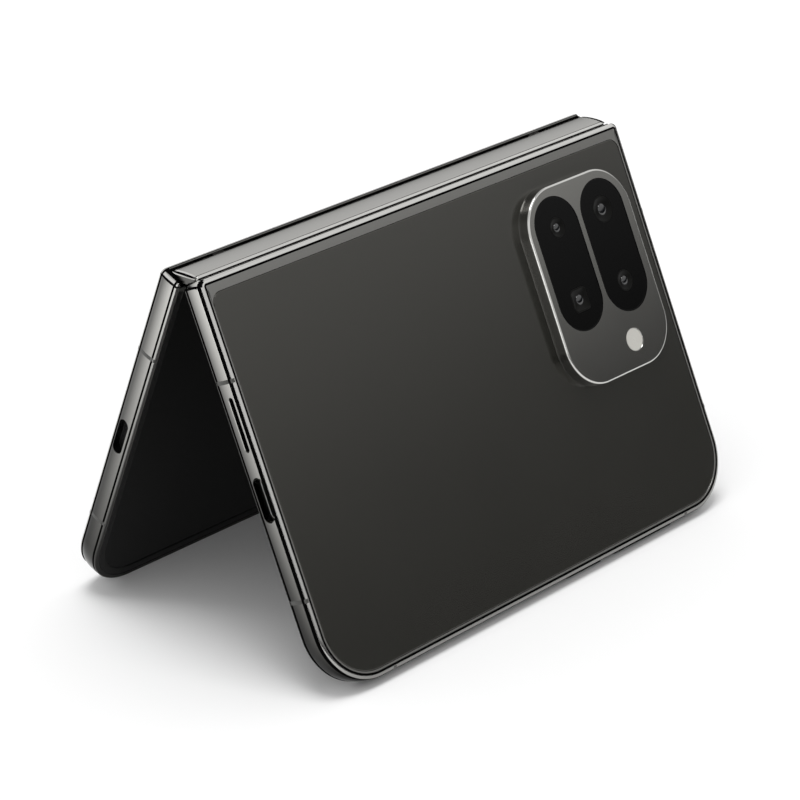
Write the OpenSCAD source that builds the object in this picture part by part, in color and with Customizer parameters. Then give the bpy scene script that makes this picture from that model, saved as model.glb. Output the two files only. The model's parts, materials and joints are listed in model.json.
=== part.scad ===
/* [Halves] */
// Length of each half along the hinge
frame_len = 122; // [110:1:160]
// Length of each half from the fold axis to its free edge
leg_len = 84.2; // [80:0.2:100]
// Thickness of each half without the camera island
half_t = 5; // [4.9:0.05:5.6]
// Radius of the two free corners seen from the back
free_corner_r = 12.5; // [8:0.5:15]
// Radius of the two corners beside the hinge
hinge_corner_r = 1.6; // [1.5:0.05:1.7]
// Thickness of the frame walls
wall_t = 2.1; // [1.8:0.1:2.8]
// Angle of each half from upright in the tent stance
stance_angle = 23.5; // [15:0.5:40]

/* [Frame edge] */
// Width of the bevel round the back edge
bevel_w = 0.95; // [0.7:0.05:1]
// Height of the bevel round the back edge
bevel_h = 0.55; // [0.4:0.05:0.6]
// Width of the two shadow lines beside the bevel
line_w = 0.2; // [0.1:0.05:0.25]
// Depth of the two shadow lines beside the bevel
line_depth = 0.12; // [0.05:0.01:0.2]
// Width of the flat band between the bevel and the back glass
band_w = 0.35; // [0.25:0.05:0.6]
// Width of the same band along the hinge
hinge_band_w = 1.75; // [1.4:0.05:2.4]
// Rounding of the edge beside the inner display
front_round = 0.5; // [0.3:0.05:0.7]
// Width of the metal rim round the inner display
front_rim_w = 1.2; // [1:0.05:1.25]
// Thickness of the mid plate between display and battery
plate_t = 0.45; // [0.3:0.05:0.6]
// Width of an antenna band
antenna_w = 0.8; // [0.5:0.1:1.5]
// Depth of an antenna band in the wall
antenna_depth = 0.9; // [0.5:0.1:1]
// Distance of the first antenna band from the fold axis
antenna_near = 20.4; // [18:0.2:22]
// Distance of the second antenna band from the fold axis
antenna_far = 64.4; // [60:0.2:66]
// Distance of the free edge's antenna bands from the middle
antenna_side = 44.9; // [40:0.1:46]

/* [Fold] */
// Distance of each fold axis from the middle of the spine
fold_offset = 3.4; // [3.35:0.01:3.45]
// Half of the gap between the two display sides when shut
shut_gap = 0.12; // [0.08:0.01:0.2]
// Distance from the fold axis level to the ends of the halves
hinge_setback = 0.65; // [0.6:0.05:0.9]
// Thickness of the lip that covers the side of the spine
lip_t = 0.95; // [0.9:0.01:0.98]
// Length of the hinge pocket from the fold axis into each half
pocket_len = 2.75; // [2.7:0.05:2.9]
// Thickness of the rib behind the hinge pocket
rib_t = 0.9; // [0.8:0.05:1.2]

/* [Spine] */
// Half width of the spine cover
spine_half_w = 3.35; // [3.3:0.01:3.4]
// Distance of the spine's crown below the fold axes
crown_drop = 0.1; // [0.05:0.01:0.15]
// Rise of the crown across the spine
crown_rise = 0.12; // [0.05:0.01:0.14]
// Width of the sloping edge of the spine cover
spine_edge_w = 1; // [0.8:0.05:1.2]
// Drop of the sloping edge of the spine cover
spine_edge_drop = 0.6; // [0.4:0.05:0.7]
// Wall of the spine cover
spine_wall = 0.35; // [0.25:0.01:0.36]
// Depth of the spine cover's skirts below the fold axes
skirt_depth = 1.3; // [1.2:0.05:1.4]
// Distance of the spine cover's ends from the ends of the halves
spine_inset = 2.9; // [2.8:0.1:3.4]
// Distance of the hinge end caps from the ends of the halves
cap_inset = 1.9; // [1.85:0.05:2.2]
// Step of the end caps below the spine cover
cap_step = 0.35; // [0.2:0.05:0.4]
// Length of the plug of an end cap inside the spine
plug_len = 1.2; // [0.8:0.1:1.4]
// Depth of the hinge block below the fold axes
block_depth = 2.35; // [2.34:0.01:2.4]

/* [Gears] */
// Teeth on each gear
gear_teeth = 10; // [10:2:12]
// Distance between neighbouring gear shafts
gear_pitch = 1.32; // [1.3:0.01:1.33]
// Depth of the gear shafts below the fold axes
gear_drop = 1.4; // [1.38:0.01:1.42]
// Face width of the gears
gear_w = 2.2; // [1.6:0.1:2.6]
// Width of the sync arms
sync_w = 1.8; // [1.4:0.1:2.2]
// Length of the sync arms from their shaft
sync_len = 6; // [5:0.2:6.6]
// Thickness of the sync arms
sync_t = 0.3; // [0.25:0.01:0.32]
// Offset of the sync arms from their shaft towards the back
sync_shift = 0.4; // [0.38:0.01:0.42]
// Radius of the gear shafts
shaft_r = 0.24; // [0.2:0.01:0.26]
// Running clearance of the gear shafts
shaft_gap = 0.03; // [0.02:0.005:0.05]
// Side clearance of gears and arms
side_gap = 0.2; // [0.15:0.01:0.3]
// Thickness of the cheeks that carry the shafts
cheek_t = 1.4; // [1.2:0.1:1.8]
// Thickness of the hinge block's floor
tray_t = 0.12; // [0.08:0.01:0.13]
// Length of the zone with the curved rails
rail_zone = 3.4; // [3:0.1:4]
// Radius of the curved rail's inner face
rail_r = 1.5; // [1.48:0.01:1.52]
// Thickness of the curved rail
rail_t = 0.5; // [0.4:0.01:0.52]
// Clearance between the curved rail and its shoe
rail_gap = 0.08; // [0.05:0.01:0.1]
// Length of the swing arm's foot
foot_len = 5; // [4:0.2:6]
// Distance of the hinge modules from the ends of the halves
module_inset = 6; // [5.8:0.1:12]
// Thickness of one friction spring
spring_t = 0.2; // [0.15:0.01:0.24]
// Outer radius of a friction spring
spring_r = 0.6; // [0.45:0.01:0.62]
// Friction springs on each main shaft
spring_count = 3; // [1:1:3]

/* [Inner display] */
// Thickness of the inner display stack
display_t = 0.6; // [0.4:0.02:0.62]
// Depth of the inner display below the rim
display_recess = 0.25; // [0.2:0.01:0.3]
// Clearance between display and frame rim
display_gap = 0.15; // [0.1:0.01:0.3]
// Width of the bezel trim on the display edge
bezel_trim_w = 1.6; // [1.2:0.1:2.2]
// Depth of the bezel trim's face below the rim
bezel_drop = 0.03; // [0:0.01:0.05]
// Distance from the fold axis at which the display halves end
fold_start = 3.3; // [3.2:0.1:4]
// Height of the bezel's guards beside the fold
guard_len = 3.4; // [2.5:0.1:5]
// Distance of the guards from the fold axis
guard_start = 2.5; // [2.5:0.1:2.8]

/* [Back and cover glass] */
// Thickness of the back glass and the cover glass
glass_t = 0.65; // [0.5:0.05:0.7]
// Depth of the glass below the back edge
glass_drop = 0.05; // [0:0.01:0.1]
// Gap round the glass
glass_gap = 0.06; // [0.04:0.01:0.12]
// Corner radius of the glass beside the hinge
glass_corner_r = 2.4; // [1.5:0.1:4]
// Thickness of the cover display panel
cover_panel_t = 0.7; // [0.5:0.05:0.9]

/* [Camera island] */
// Width of the island along the hinge
island_w = 32.1; // [30:0.1:36]
// Length of the island down the half
island_len = 42.8; // [41:0.1:46]
// Distance of the island from the fold axis
island_start = 7.9; // [7:0.1:10]
// Distance of the island from the end of the half
island_side = 6; // [4.5:0.1:12]
// Height of the island above the back edge
island_h = 2.7; // [2.4:0.1:3.2]
// Corner radius of the island
island_r = 9.5; // [8:0.5:12]
// Rounding of the island's top edge
island_round = 0.9; // [0.5:0.1:1.2]
// Wall of the island
island_wall = 1.8; // [1.4:0.1:2.2]
// Thickness of the island's top
island_top_t = 0.9; // [0.8:0.05:1.1]
// Width of each lens window
window_w = 13; // [12:0.1:13.4]
// Length of the island beyond the lens windows
window_rest = 11.9; // [11.5:0.1:13]
// Thickness of the lens windows
window_t = 0.5; // [0.4:0.05:0.6]
// Gap round the lens windows
window_gap = 0.05; // [0.03:0.01:0.1]
// Distance of the first window from the island's side
window_side = 2.5; // [2:0.1:2.6]
// Distance of the windows from the island's end
window_start = 2.3; // [2:0.1:4]
// Distance between the centres of the windows
window_step = 14.5; // [14:0.1:15]
// Radius of the lens barrels
barrel_r = 3.4; // [2.8:0.1:3.8]
// Clearance round the lens barrels
barrel_gap = 0.2; // [0.1:0.05:0.4]
// Size of the camera modules
module_size = 9.8; // [9:0.1:10]
// Corner radius of the camera modules
module_r = 2; // [1.8:0.1:2.5]
// Height of the main camera's module above the display side
main_h = 6; // [5.6:0.1:6.2]
// Height of the wide camera's module above the display side
wide_h = 5.4; // [5:0.1:6.2]
// Height of the tele camera's module above the display side
tele_h = 5.8; // [5:0.1:6.2]
// Height of the portrait camera's module above the display side
portrait_h = 5.2; // [5:0.1:6.2]
// Radius of the depth sensor
sensor_r = 1.1; // [0.9:0.1:1.3]
// Radius of the flash lens
flash_r = 2.4; // [1.8:0.1:2.6]
// Distance of the flash lens from the island's far end
flash_end = 6.1; // [5.5:0.1:6.5]
// Distance of the flash lens from the island's side
flash_side = 11.7; // [10:0.1:13]

/* [Ports and buttons] */
// Height of the ports' middle above the display side
port_w = 2.62; // [2.6:0.01:2.7]
// Length of the connector opening
usb_len = 9; // [8.9:0.1:9.6]
// Height of the connector opening
usb_h = 3; // [2.8:0.1:3.1]
// Distance of the connector from the fold axis
usb_s = 43.9; // [42:0.1:48]
// Wall of the connector's shell
usb_wall = 0.25; // [0.2:0.05:0.3]
// Depth of the connector
usb_depth = 7; // [6.5:0.1:8]
// Length of the rear half's speaker slot
slot_len = 10.9; // [9:0.1:12]
// Height of the rear half's speaker slot
slot_h = 1.1; // [0.8:0.1:1.4]
// Distance of the speaker slot from the fold axis
slot_s = 28.9; // [28:0.1:30]
// Length of the cover half's speaker slot
cover_slot_len = 8.4; // [7:0.1:9.4]
// Height of the cover half's speaker slot
cover_slot_h = 2.6; // [2:0.1:2.6]
// Distance of the cover half's speaker slot from the fold axis
cover_slot_s = 42.1; // [40:0.1:44]
// Length of the power button
power_len = 11; // [9:0.5:12]
// Place of the power button along the free edge
power_x = 13; // [12:0.5:14]
// Length of the volume rocker
volume_len = 19; // [16:0.5:20]
// Place of the volume rocker along the free edge
volume_x = 32; // [31:0.5:33]
// Height of the buttons
button_h = 2; // [1.8:0.1:2.2]
// How far the buttons stand proud
button_proud = 0.35; // [0.3:0.05:0.4]
// Clearance round the buttons
button_gap = 0.12; // [0.08:0.01:0.2]
// Travel of the buttons
button_travel = 0.25; // [0.2:0.01:0.28]
// Length of the card tray's face
tray_len = 15.5; // [14:0.5:17]
// Height of the card tray's face
tray_h = 1.5; // [1.3:0.1:1.8]
// Distance of the card tray from the fold axis
tray_s = 46; // [40:0.5:50]
// Depth of the card tray
tray_depth = 17; // [14:0.5:18]
// Clearance round the card tray
tray_gap = 0.1; // [0.06:0.01:0.15]

/* [Inside] */
// Distance of the batteries from the fold axis
battery_start = 12; // [11:0.5:14]
// Height of the rear battery's face above the display side
battery_top = 3.9; // [3.4:0.05:3.9]
// Clearance between the parts inside
inner_clear = 1; // [0.6:0.1:1.4]
// Width of the loudspeakers
speaker_w = 11; // [9:0.5:12]
// Length of the rear half's loudspeaker
speaker_len = 16; // [14:0.5:18]
// Thickness of the rear half's loudspeaker
speaker_t = 2.8; // [2.4:0.1:2.9]
// Length of the cover half's loudspeaker
cover_speaker_len = 18; // [14:0.5:20]
// Thickness of the cover half's loudspeaker
cover_speaker_t = 2.1; // [1.8:0.1:2.2]
// Width of the main board
board_w = 32; // [30:0.5:33]
// Thickness of the boards
board_t = 0.8; // [0.6:0.05:1]
// Thickness of the board shields
shield_t = 1.4; // [1:0.1:1.6]
// Distance of the boards from the wall at the free edge
board_edge = 4; // [3:0.5:5]
// Margin of the board shields at the sides
shield_gap = 2; // [1.5:0.1:2.5]
// Margin of the board shields at their ends
shield_end = 8; // [4:0.5:9]
// Difference in length between the two board shields
shield_step = 3; // [0:0.5:4]
// Fine clearance between small parts inside
inner_gap = 0.05; // [0.03:0.01:0.1]
// Width of the button switches
switch_w = 3; // [2.5:0.1:3.5]
// Height of the button switches
switch_h = 2; // [1.6:0.1:2.2]
// Thickness of the button switches
switch_t = 1; // [0.8:0.1:1.2]
// Radius of the charging coil
coil_r = 19; // [16:0.5:21]
// Radius of the opening in the charging coil
coil_hole_r = 10; // [8:0.5:12]
// Thickness of the charging coil
coil_t = 0.3; // [0.2:0.05:0.35]
// Width of the vibration motor
motor_w = 10; // [8:0.5:11]
// Length of the vibration motor
motor_len = 9; // [7:0.5:10]
// Thickness of the vibration motor
motor_t = 2.4; // [2:0.1:2.6]
// Width of the column beside the cover half's battery
cover_column = 26; // [24:0.5:30]
// Length of the cover half's board
cover_board_len = 15; // [12:0.5:17]
// Distance of the front camera from the fold axis
front_camera_s = 24; // [20:0.5:27]
// Distance of the front camera from the end of the half
front_camera_side = 16; // [14:0.5:18]
// Size of the front camera's module
front_camera_size = 6; // [5:0.1:7]
// Radius of the front camera's barrel
front_camera_r = 2; // [1.6:0.1:2.3]

/* [Hidden] */
$fn = 64;
eps = 0.01;
metal = "#77776f";
dark_metal = "#4a4a46";
glass_colour = "#3c3c38";
black = "#101011";
steel = "#a9a9a6";
copper = "#a8672f";
board_green = "#1f4a33";

half_len = frame_len / 2;
fold_w = fold_offset - shut_gap;
axis_z = (fold_w - front_round) * sin(stance_angle) + (leg_len - front_round) * cos(stance_angle)
    + front_round;
bevel_end = bevel_w + line_w;
glass_inset = bevel_end + band_w;
glass_start = hinge_setback + bevel_end + hinge_band_w;
seat_w = half_t - glass_drop - glass_t;
display_back = display_recess + display_t;
plate_top = display_back + plate_t;
skin_t = bevel_end + 0.15;
rib_end = pocket_len + rib_t;
display_inset = front_rim_w + display_gap;
fold_inset = front_rim_w + bezel_trim_w + 0.08;

// Hinge module, measured along the hinge from its outer end
gear_x = cheek_t + side_gap;
sync_x = gear_x + gear_w;
second_cheek_x = sync_x + sync_w + side_gap;
rail_x = second_cheek_x + cheek_t;
third_cheek_x = rail_x + rail_zone;
module_len = third_cheek_x + cheek_t;
block_half_w = spine_half_w - spine_wall - 0.03;
block_top = crown_drop + crown_rise + spine_wall + 0.03;
shaft_y = [-1.5 * gear_pitch, -0.5 * gear_pitch, 0.5 * gear_pitch, 1.5 * gear_pitch];
rail_clear = 0.25;
rail_w = rail_zone - 2 * rail_clear;
notch_top = gear_drop - sync_shift - sync_t / 2 - 0.07;
foot_w0 = fold_w;
foot_w1 = fold_w + rail_t;
screw_r = 0.45;

function arc(cx, cy, r, a0, a1, n) =
    [for (i = [0:n]) let (a = a0 + (a1 - a0) * i / n) [cx + r * cos(a), cy + r * sin(a)]];
function bevel_points(n) =
    [for (i = [0:n]) let (a = 90 * i / n)
        [bevel_w * (1 - cos(a)), half_t - bevel_h + bevel_h * sin(a)]];

// Section of the frame's outer skin: distance in from the edge, height above the display side
skin_points = concat(
    [[front_rim_w, 0]],
    arc(front_round, front_round, front_round, 270, 180, 6),
    [
        [0, half_t - bevel_h - line_w],
        [line_depth, half_t - bevel_h - line_w],
        [line_depth, half_t - bevel_h]
    ],
    bevel_points(7),
    [
        [bevel_w, half_t - line_depth],
        [bevel_end, half_t - line_depth],
        [bevel_end, half_t],
        [skin_t, half_t],
        [skin_t, display_back],
        [front_rim_w, display_back]
    ]
);

// Section of the lip over the hinge pocket, in the same two directions
lip_points = concat(
    [
        [0, half_t - lip_t],
        [0, half_t - bevel_h - line_w],
        [line_depth, half_t - bevel_h - line_w],
        [line_depth, half_t - bevel_h]
    ],
    bevel_points(7),
    [
        [bevel_w, half_t - line_depth],
        [bevel_end, half_t - line_depth],
        [bevel_end, half_t],
        [glass_start - hinge_setback, half_t],
        [glass_start - hinge_setback, seat_w],
        [rib_end - hinge_setback, seat_w],
        [rib_end - hinge_setback, half_t - lip_t]
    ]
);

// Each half is drawn flat: x along the hinge, y = 0 at the fold axis and negative towards
// the free edge, z = 0 at the display side. These two modules stand it up in the tent.
module place_rear() {
    translate([0, -fold_offset, axis_z])
        rotate([90 - stance_angle, 0, 0])
            translate([0, 0, -fold_w])
                children();
}

module place_cover() {
    mirror([0, 1, 0])
        place_rear()
            children();
}

// Spine parts are drawn with x along the hinge and z = 0 at the fold axes.
module place_spine() {
    translate([0, 0, axis_z])
        children();
}

module both_ends() {
    children();
    mirror([1, 0, 0])
        children();
}

// Moves a hinge module's own length onto the +x end of the spine, running inwards.
module hinge_module() {
    both_ends()
        translate([half_len - module_inset, 0, 0])
            mirror([1, 0, 0])
                children();
}

module rounded_rect(w, h, r) {
    union() {
        square([w - 2 * r, h], center = true);
        square([w, h - 2 * r], center = true);
        for (sx = [-1, 1])
            for (sy = [-1, 1])
                translate([sx * (w / 2 - r), sy * (h / 2 - r)])
                    circle(r);
    }
}

// Outline of a half, set in by inset, from top below the fold axis to the free edge
module plan(inset, top, top_r) {
    r = free_corner_r - inset;
    w = half_len - inset;
    union() {
        translate([-w, -leg_len + inset + r])
            square([2 * w, leg_len - inset - r - top - top_r]);
        translate([-w + top_r, -top - top_r - eps])
            square([2 * w - 2 * top_r, top_r + eps]);
        translate([-w + r, -leg_len + inset])
            square([2 * w - 2 * r, r + eps]);
        for (sx = [-1, 1]) {
            translate([sx * (w - r), -leg_len + inset + r])
                circle(r);
            if (top_r > 0)
                translate([sx * (w - top_r), -top - top_r])
                    circle(top_r);
        }
    }
}

module slab(z0, z1) {
    translate([0, 0, z0])
        linear_extrude(z1 - z0)
            children();
}

// Slot-shaped bar along y, rounded at both ends, centred on the origin, running along x
module pill_x(len, h, depth) {
    rotate([90, 0, 90])
        linear_extrude(depth)
            rounded_rect(len, h, h / 2 - 0.001);
}

// Bar of a section given in distance from the edge and height, running towards the free edge
module edge_bar(points, len) {
    rotate([90, 0, 0])
        linear_extrude(len)
            polygon(points);
}

module edge_corner(points, r) {
    rotate_extrude(angle = 90)
        polygon([for (p = points) [r - p[0], p[1]]]);
}

module frame_skin() {
    side_top = hinge_setback + hinge_corner_r;
    both_ends() {
        translate([-half_len, -side_top, 0])
            edge_bar(skin_points, leg_len - free_corner_r - side_top);
        translate([-half_len + free_corner_r, -leg_len + free_corner_r, 0])
            rotate([0, 0, 180])
                edge_corner(skin_points, free_corner_r);
        translate([-half_len + hinge_corner_r, -side_top, 0])
            rotate([0, 0, 90])
                edge_corner(skin_points, hinge_corner_r);
    }
    translate([-half_len + free_corner_r, -leg_len, 0])
        rotate([0, 0, 90])
            edge_bar(skin_points, frame_len - 2 * free_corner_r);
}

module hinge_lip() {
    translate([half_len - hinge_corner_r, -hinge_setback, 0])
        rotate([0, 0, -90])
            edge_bar(lip_points, frame_len - 2 * hinge_corner_r);
}

// Windows through the rib for the swing arms and the sync arms
module arm_windows() {
    hinge_module() {
        translate([sync_x - side_gap, -rib_end - eps, plate_top + 0.05])
            cube([sync_w + 2 * side_gap, rib_t + 0.3, fold_w - plate_top - 0.2]);
        translate([rail_x + rail_clear - side_gap, -rib_end - eps, plate_top + 0.05])
            cube([rail_w + 2 * side_gap, rib_t + 0.3, half_t - lip_t - plate_top - 0.1]);
    }
}

// Blocks on the mid plate that carry the feet of the swing arms
module arm_seats() {
    hinge_module()
        difference() {
            translate([rail_x + rail_clear, -rib_end - foot_len, plate_top - eps])
                cube([rail_w, foot_len - 0.3, foot_w0 - plate_top + eps]);
            translate([rail_x + rail_clear + rail_w / 2, -rib_end - foot_len + 1.5, plate_top])
                cylinder(r = screw_r, h = foot_w1);
        }
}

module antenna_slots() {
    for (sx = [-1, 1]) {
        for (s = [antenna_near, antenna_far])
            translate([sx * half_len, -s, half_t / 2])
                cube([2 * antenna_depth, antenna_w, half_t + 2], center = true);
        translate([sx * antenna_side, -leg_len, half_t / 2])
            cube([antenna_w, 2 * antenna_depth, half_t + 2], center = true);
    }
}

module half_frame() {
    union() {
        difference() {
            frame_skin();
            antenna_slots();
        }
        slab(display_back, seat_w)
            difference() {
                plan(skin_t - eps, pocket_len, 0);
                plan(wall_t, rib_end, 0);
            }
        slab(seat_w - eps, half_t)
            difference() {
                plan(bevel_end, pocket_len, 0);
                plan(glass_inset, glass_start, glass_corner_r);
            }
        slab(display_back, plate_top)
            plan(wall_t - eps, rib_end - eps, 0);
        hinge_lip();
    }
}

module antenna_bands() {
    intersection() {
        frame_skin();
        antenna_slots();
    }
}

module button_shape(len, grow, depth) {
    rotate([90, 0, 0])
        linear_extrude(depth)
            rounded_rect(len + 2 * grow, button_h + 2 * grow, button_h / 2 + grow - 0.001);
}

module rear_frame() {
    color(metal)
        place_rear()
            difference() {
                union() {
                    half_frame();
                    arm_seats();
                }
                arm_windows();
                translate([-half_len - 1, -usb_s, port_w])
                    pill_x(usb_len, usb_h, wall_t + 2);
                translate([-half_len + wall_t - 0.2, -usb_s, port_w])
                    pill_x(usb_len, usb_h, usb_depth);
                translate([-half_len - 1, -slot_s, port_w + 0.25])
                    pill_x(slot_len, slot_h, wall_t + 1);
                for (b = [[power_x, power_len], [volume_x, volume_len]])
                    translate([b[0], -leg_len + wall_t + 0.5, port_w])
                        button_shape(b[1], button_gap, wall_t + 1);
            }
}

module cover_frame() {
    color(metal)
        place_cover()
            difference() {
                union() {
                    half_frame();
                    arm_seats();
                }
                arm_windows();
                translate([-half_len - 1, -cover_slot_s, port_w])
                    pill_x(cover_slot_len, cover_slot_h, wall_t + 1);
                translate([half_len - wall_t - 1, -tray_s, port_w])
                    pill_x(tray_len + 2 * tray_gap, tray_h + 2 * tray_gap, wall_t + 2);
            }
}

module rear_antenna_bands() {
    color(dark_metal)
        place_rear()
            antenna_bands();
}

module cover_antenna_bands() {
    color(dark_metal)
        place_cover()
            antenna_bands();
}

module half_glass() {
    slab(seat_w, seat_w + glass_t)
        plan(glass_inset + glass_gap, glass_start + glass_gap, glass_corner_r);
}

island_x = half_len - island_side - island_w / 2;
island_y = -island_start - island_len / 2;
island_base = half_t - glass_drop;
island_top = half_t + island_h;
window_len = island_len - window_start - window_rest;
window_y = -island_start - window_start - window_len / 2;
window_x = [
    half_len - island_side - window_side - window_w / 2 - window_step,
    half_len - island_side - window_side - window_w / 2
];
window_end = window_len / 2 - window_w / 2;
lens_places = [
    [window_x[0], window_y + window_end],
    [window_x[1], window_y + window_end],
    [window_x[1], window_y - window_end],
    [window_x[0], window_y - window_end]
];
flash_x = half_len - island_side - flash_side;
flash_y = -island_start - island_len + flash_end;

module back_glass() {
    color(glass_colour)
        place_rear()
            difference() {
                half_glass();
                translate([island_x, island_y, 0])
                    linear_extrude(2 * half_t)
                        rounded_rect(island_w - 2 * island_wall, island_len - 2 * island_wall,
                            island_r - island_wall);
            }
}

// Section of the island's rim: distance in from its side, height above the glass
island_points = concat(
    [[0, 0], [0.12, island_top - island_base - island_round]],
    arc(island_round + 0.12, island_top - island_base - island_round, island_round, 180, 90, 6),
    [[3, island_top - island_base], [3, island_top - island_base - island_top_t]],
    [[island_wall, island_top - island_base - island_top_t], [island_wall, 0]]
);

module ring(w, h, r, points) {
    for (a = [0, 180])
        rotate([0, 0, a]) {
            translate([-w / 2, h / 2 - r, 0])
                edge_bar(points, h - 2 * r);
            translate([-w / 2 + r, -h / 2, 0])
                rotate([0, 0, 90])
                    edge_bar(points, w - 2 * r);
            translate([w / 2 - r, h / 2 - r, 0])
                edge_corner(points, r);
            translate([-w / 2 + r, h / 2 - r, 0])
                rotate([0, 0, 90])
                    edge_corner(points, r);
        }
}

module camera_island() {
    color(metal)
        place_rear()
            difference() {
                translate([island_x, island_y, island_base])
                    union() {
                        ring(island_w, island_len, island_r, island_points);
                        slab(island_top - island_base - island_top_t, island_top - island_base)
                            rounded_rect(island_w - 5, island_len - 5, island_r - 2.5);
                    }
                for (x = window_x)
                    translate([x, window_y, 0])
                        slab(island_top - window_t, island_top + 1)
                            rounded_rect(window_w + 2 * window_gap, window_len + 2 * window_gap,
                                window_w / 2 + window_gap - 0.001);
                for (p = lens_places)
                    translate([p[0], p[1], island_base])
                        cylinder(r = barrel_r + barrel_gap, h = island_h + 1);
                translate([window_x[1], window_y, island_base])
                    cylinder(r = 0.7, h = island_h + 1);
                translate([flash_x, flash_y, island_base])
                    cylinder(r = flash_r + window_gap, h = island_h + 1);
            }
}

module lens_windows() {
    color(black)
        place_rear()
            for (x = window_x)
                translate([x, window_y, 0])
                    slab(island_top - window_t, island_top)
                        rounded_rect(window_w, window_len, window_w / 2 - 0.001);
}

module camera_module(i, body_h, barrel) {
    p = lens_places[i];
    barrel_top = island_top - window_t - 0.05;
    color(black)
        place_rear()
            translate([p[0], p[1], 0])
                union() {
                    slab(plate_top, body_h)
                        rounded_rect(module_size, module_size, module_r);
                    translate([0, 0, body_h - eps])
                        cylinder(r = barrel, h = barrel_top - body_h);
                }
}

module main_camera() {
    camera_module(1, main_h, barrel_r);
}

module wide_camera() {
    camera_module(2, wide_h, barrel_r - 0.5);
}

module tele_camera() {
    camera_module(3, tele_h, barrel_r - 0.2);
}

module portrait_camera() {
    camera_module(0, portrait_h, barrel_r - 0.8);
}

module depth_sensor() {
    color(black)
        place_rear()
            translate([window_x[1], window_y, main_h + inner_gap])
                cylinder(r = sensor_r, h = island_top - island_top_t - main_h - inner_gap);
}

module flash_lens() {
    color("#e8e6df")
        place_rear()
            translate([flash_x, flash_y, island_top - island_top_t])
                cylinder(r = flash_r, h = island_top_t);
}

module flash_board() {
    color("#d9cf63")
        place_rear()
            translate([flash_x, flash_y, island_top - island_top_t - 0.6])
                cylinder(r = flash_r + 0.4, h = 0.6);
}

board_x1 = half_len - free_corner_r + 1.5;
board_x0 = board_x1 - board_w;
battery_x0 = -half_len + wall_t + speaker_w + 2 * inner_clear;
rear_battery_x1 = board_x0 - 2 * inner_clear;
cover_column_x = half_len - cover_column;

module battery(x0, x1, top) {
    w = x1 - x0;
    h = leg_len - wall_t - 2 * inner_clear - battery_start - 4;
    translate([(x0 + x1) / 2, -battery_start - h / 2, 0])
        slab(plate_top, top)
            rounded_rect(w, h, 1.5);
}

module rear_battery() {
    color("#2b2b2e")
        place_rear()
            battery(battery_x0, rear_battery_x1, battery_top);
}

module cover_battery() {
    color("#2b2b2e")
        place_cover()
            battery(battery_x0, cover_column_x, seat_w - cover_panel_t - 0.1);
}

module charging_coil() {
    color(copper)
        place_rear()
            translate([(battery_x0 + rear_battery_x1) / 2, -leg_len / 2 - 3, battery_top])
                difference() {
                    cylinder(r = coil_r, h = coil_t);
                    translate([0, 0, -1])
                        cylinder(r = coil_hole_r, h = 3);
                }
}

board_start = island_start + window_start + window_len + module_size / 2 - window_w / 2 + 1;

module main_board() {
    color(board_green)
        place_rear()
            slab(plate_top, plate_top + board_t)
                translate([board_x0, -leg_len + wall_t + board_edge])
                    square([board_w, leg_len - wall_t - board_edge - board_start]);
}

module board_shields() {
    shield_w = (board_w - 3 * shield_gap) / 2;
    color(steel)
        place_rear()
            for (i = [0, 1])
                slab(plate_top + board_t, plate_top + board_t + shield_t)
                    translate([board_x0 + shield_gap + i * (shield_w + shield_gap),
                            -leg_len + wall_t + board_edge + shield_end])
                        square([shield_w, leg_len - wall_t - board_edge - board_start
                            - 2 * shield_end + shield_gap - shield_step * i]);
}

usb_x = -half_len + wall_t - 0.2;
mesh_t = 0.3;

module usb_port() {
    color(steel)
        place_rear()
            translate([usb_x, -usb_s, port_w])
                union() {
                    difference() {
                        pill_x(usb_len - 0.02, usb_h - 0.02, usb_depth - 0.05);
                        translate([-1, 0, 0])
                            pill_x(usb_len - 2 * usb_wall, usb_h - 2 * usb_wall, usb_depth + 0.4);
                    }
                    translate([0.8, -3.3, -0.35])
                        cube([usb_depth - 0.9, 6.6, 0.7]);
                }
}

module speaker_box(s, len, h) {
    translate([-half_len + wall_t, -s - len / 2, plate_top])
        cube([speaker_w, len, h]);
}

module rear_speaker() {
    color("#1c1c1f")
        place_rear()
            speaker_box(slot_s - 2, speaker_len, speaker_t);
}

module cover_speaker() {
    color("#1c1c1f")
        place_cover()
            speaker_box(cover_slot_s, cover_speaker_len, cover_speaker_t);
}

module rear_speaker_mesh() {
    color(black)
        place_rear()
            translate([-half_len + wall_t - mesh_t, -slot_s, port_w + 0.25])
                pill_x(slot_len - 0.04, slot_h - 0.04, mesh_t);
}

module cover_speaker_mesh() {
    color(black)
        place_cover()
            translate([-half_len + wall_t - mesh_t, -cover_slot_s, port_w])
                pill_x(cover_slot_len - 0.04, cover_slot_h - 0.04, mesh_t);
}

module vibration_motor() {
    color(steel)
        place_rear()
            translate([-half_len + wall_t + inner_clear, -leg_len + wall_t + 8, plate_top])
                cube([motor_w, motor_len, motor_t]);
}

module display_half() {
    slab(display_recess, display_back)
        plan(display_inset, fold_start, 0);
}

module rear_display_half() {
    color(black)
        place_rear()
            display_half();
}

module cover_display_half() {
    color(black)
        place_cover()
            display_half();
}

// Trim on the display's edge, with a guard at each side of the fold
module bezel() {
    trim = front_rim_w + 0.03;
    slab(bezel_drop, display_recess)
        union() {
            difference() {
                plan(trim, fold_start, 0);
                plan(trim + bezel_trim_w, fold_start - 1, 0);
            }
            for (sx = [-1, 1])
                translate([sx * (half_len - trim - bezel_trim_w / 2), -guard_start - guard_len / 2])
                    square([bezel_trim_w, guard_len], center = true);
        }
}

module rear_bezel() {
    color("#1b1b1c")
        place_rear()
            bezel();
}

module cover_bezel() {
    color("#1b1b1c")
        place_cover()
            bezel();
}

// Curved rail round the fold axis with a foot that screws to the frame
rail_start = 26;

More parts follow.
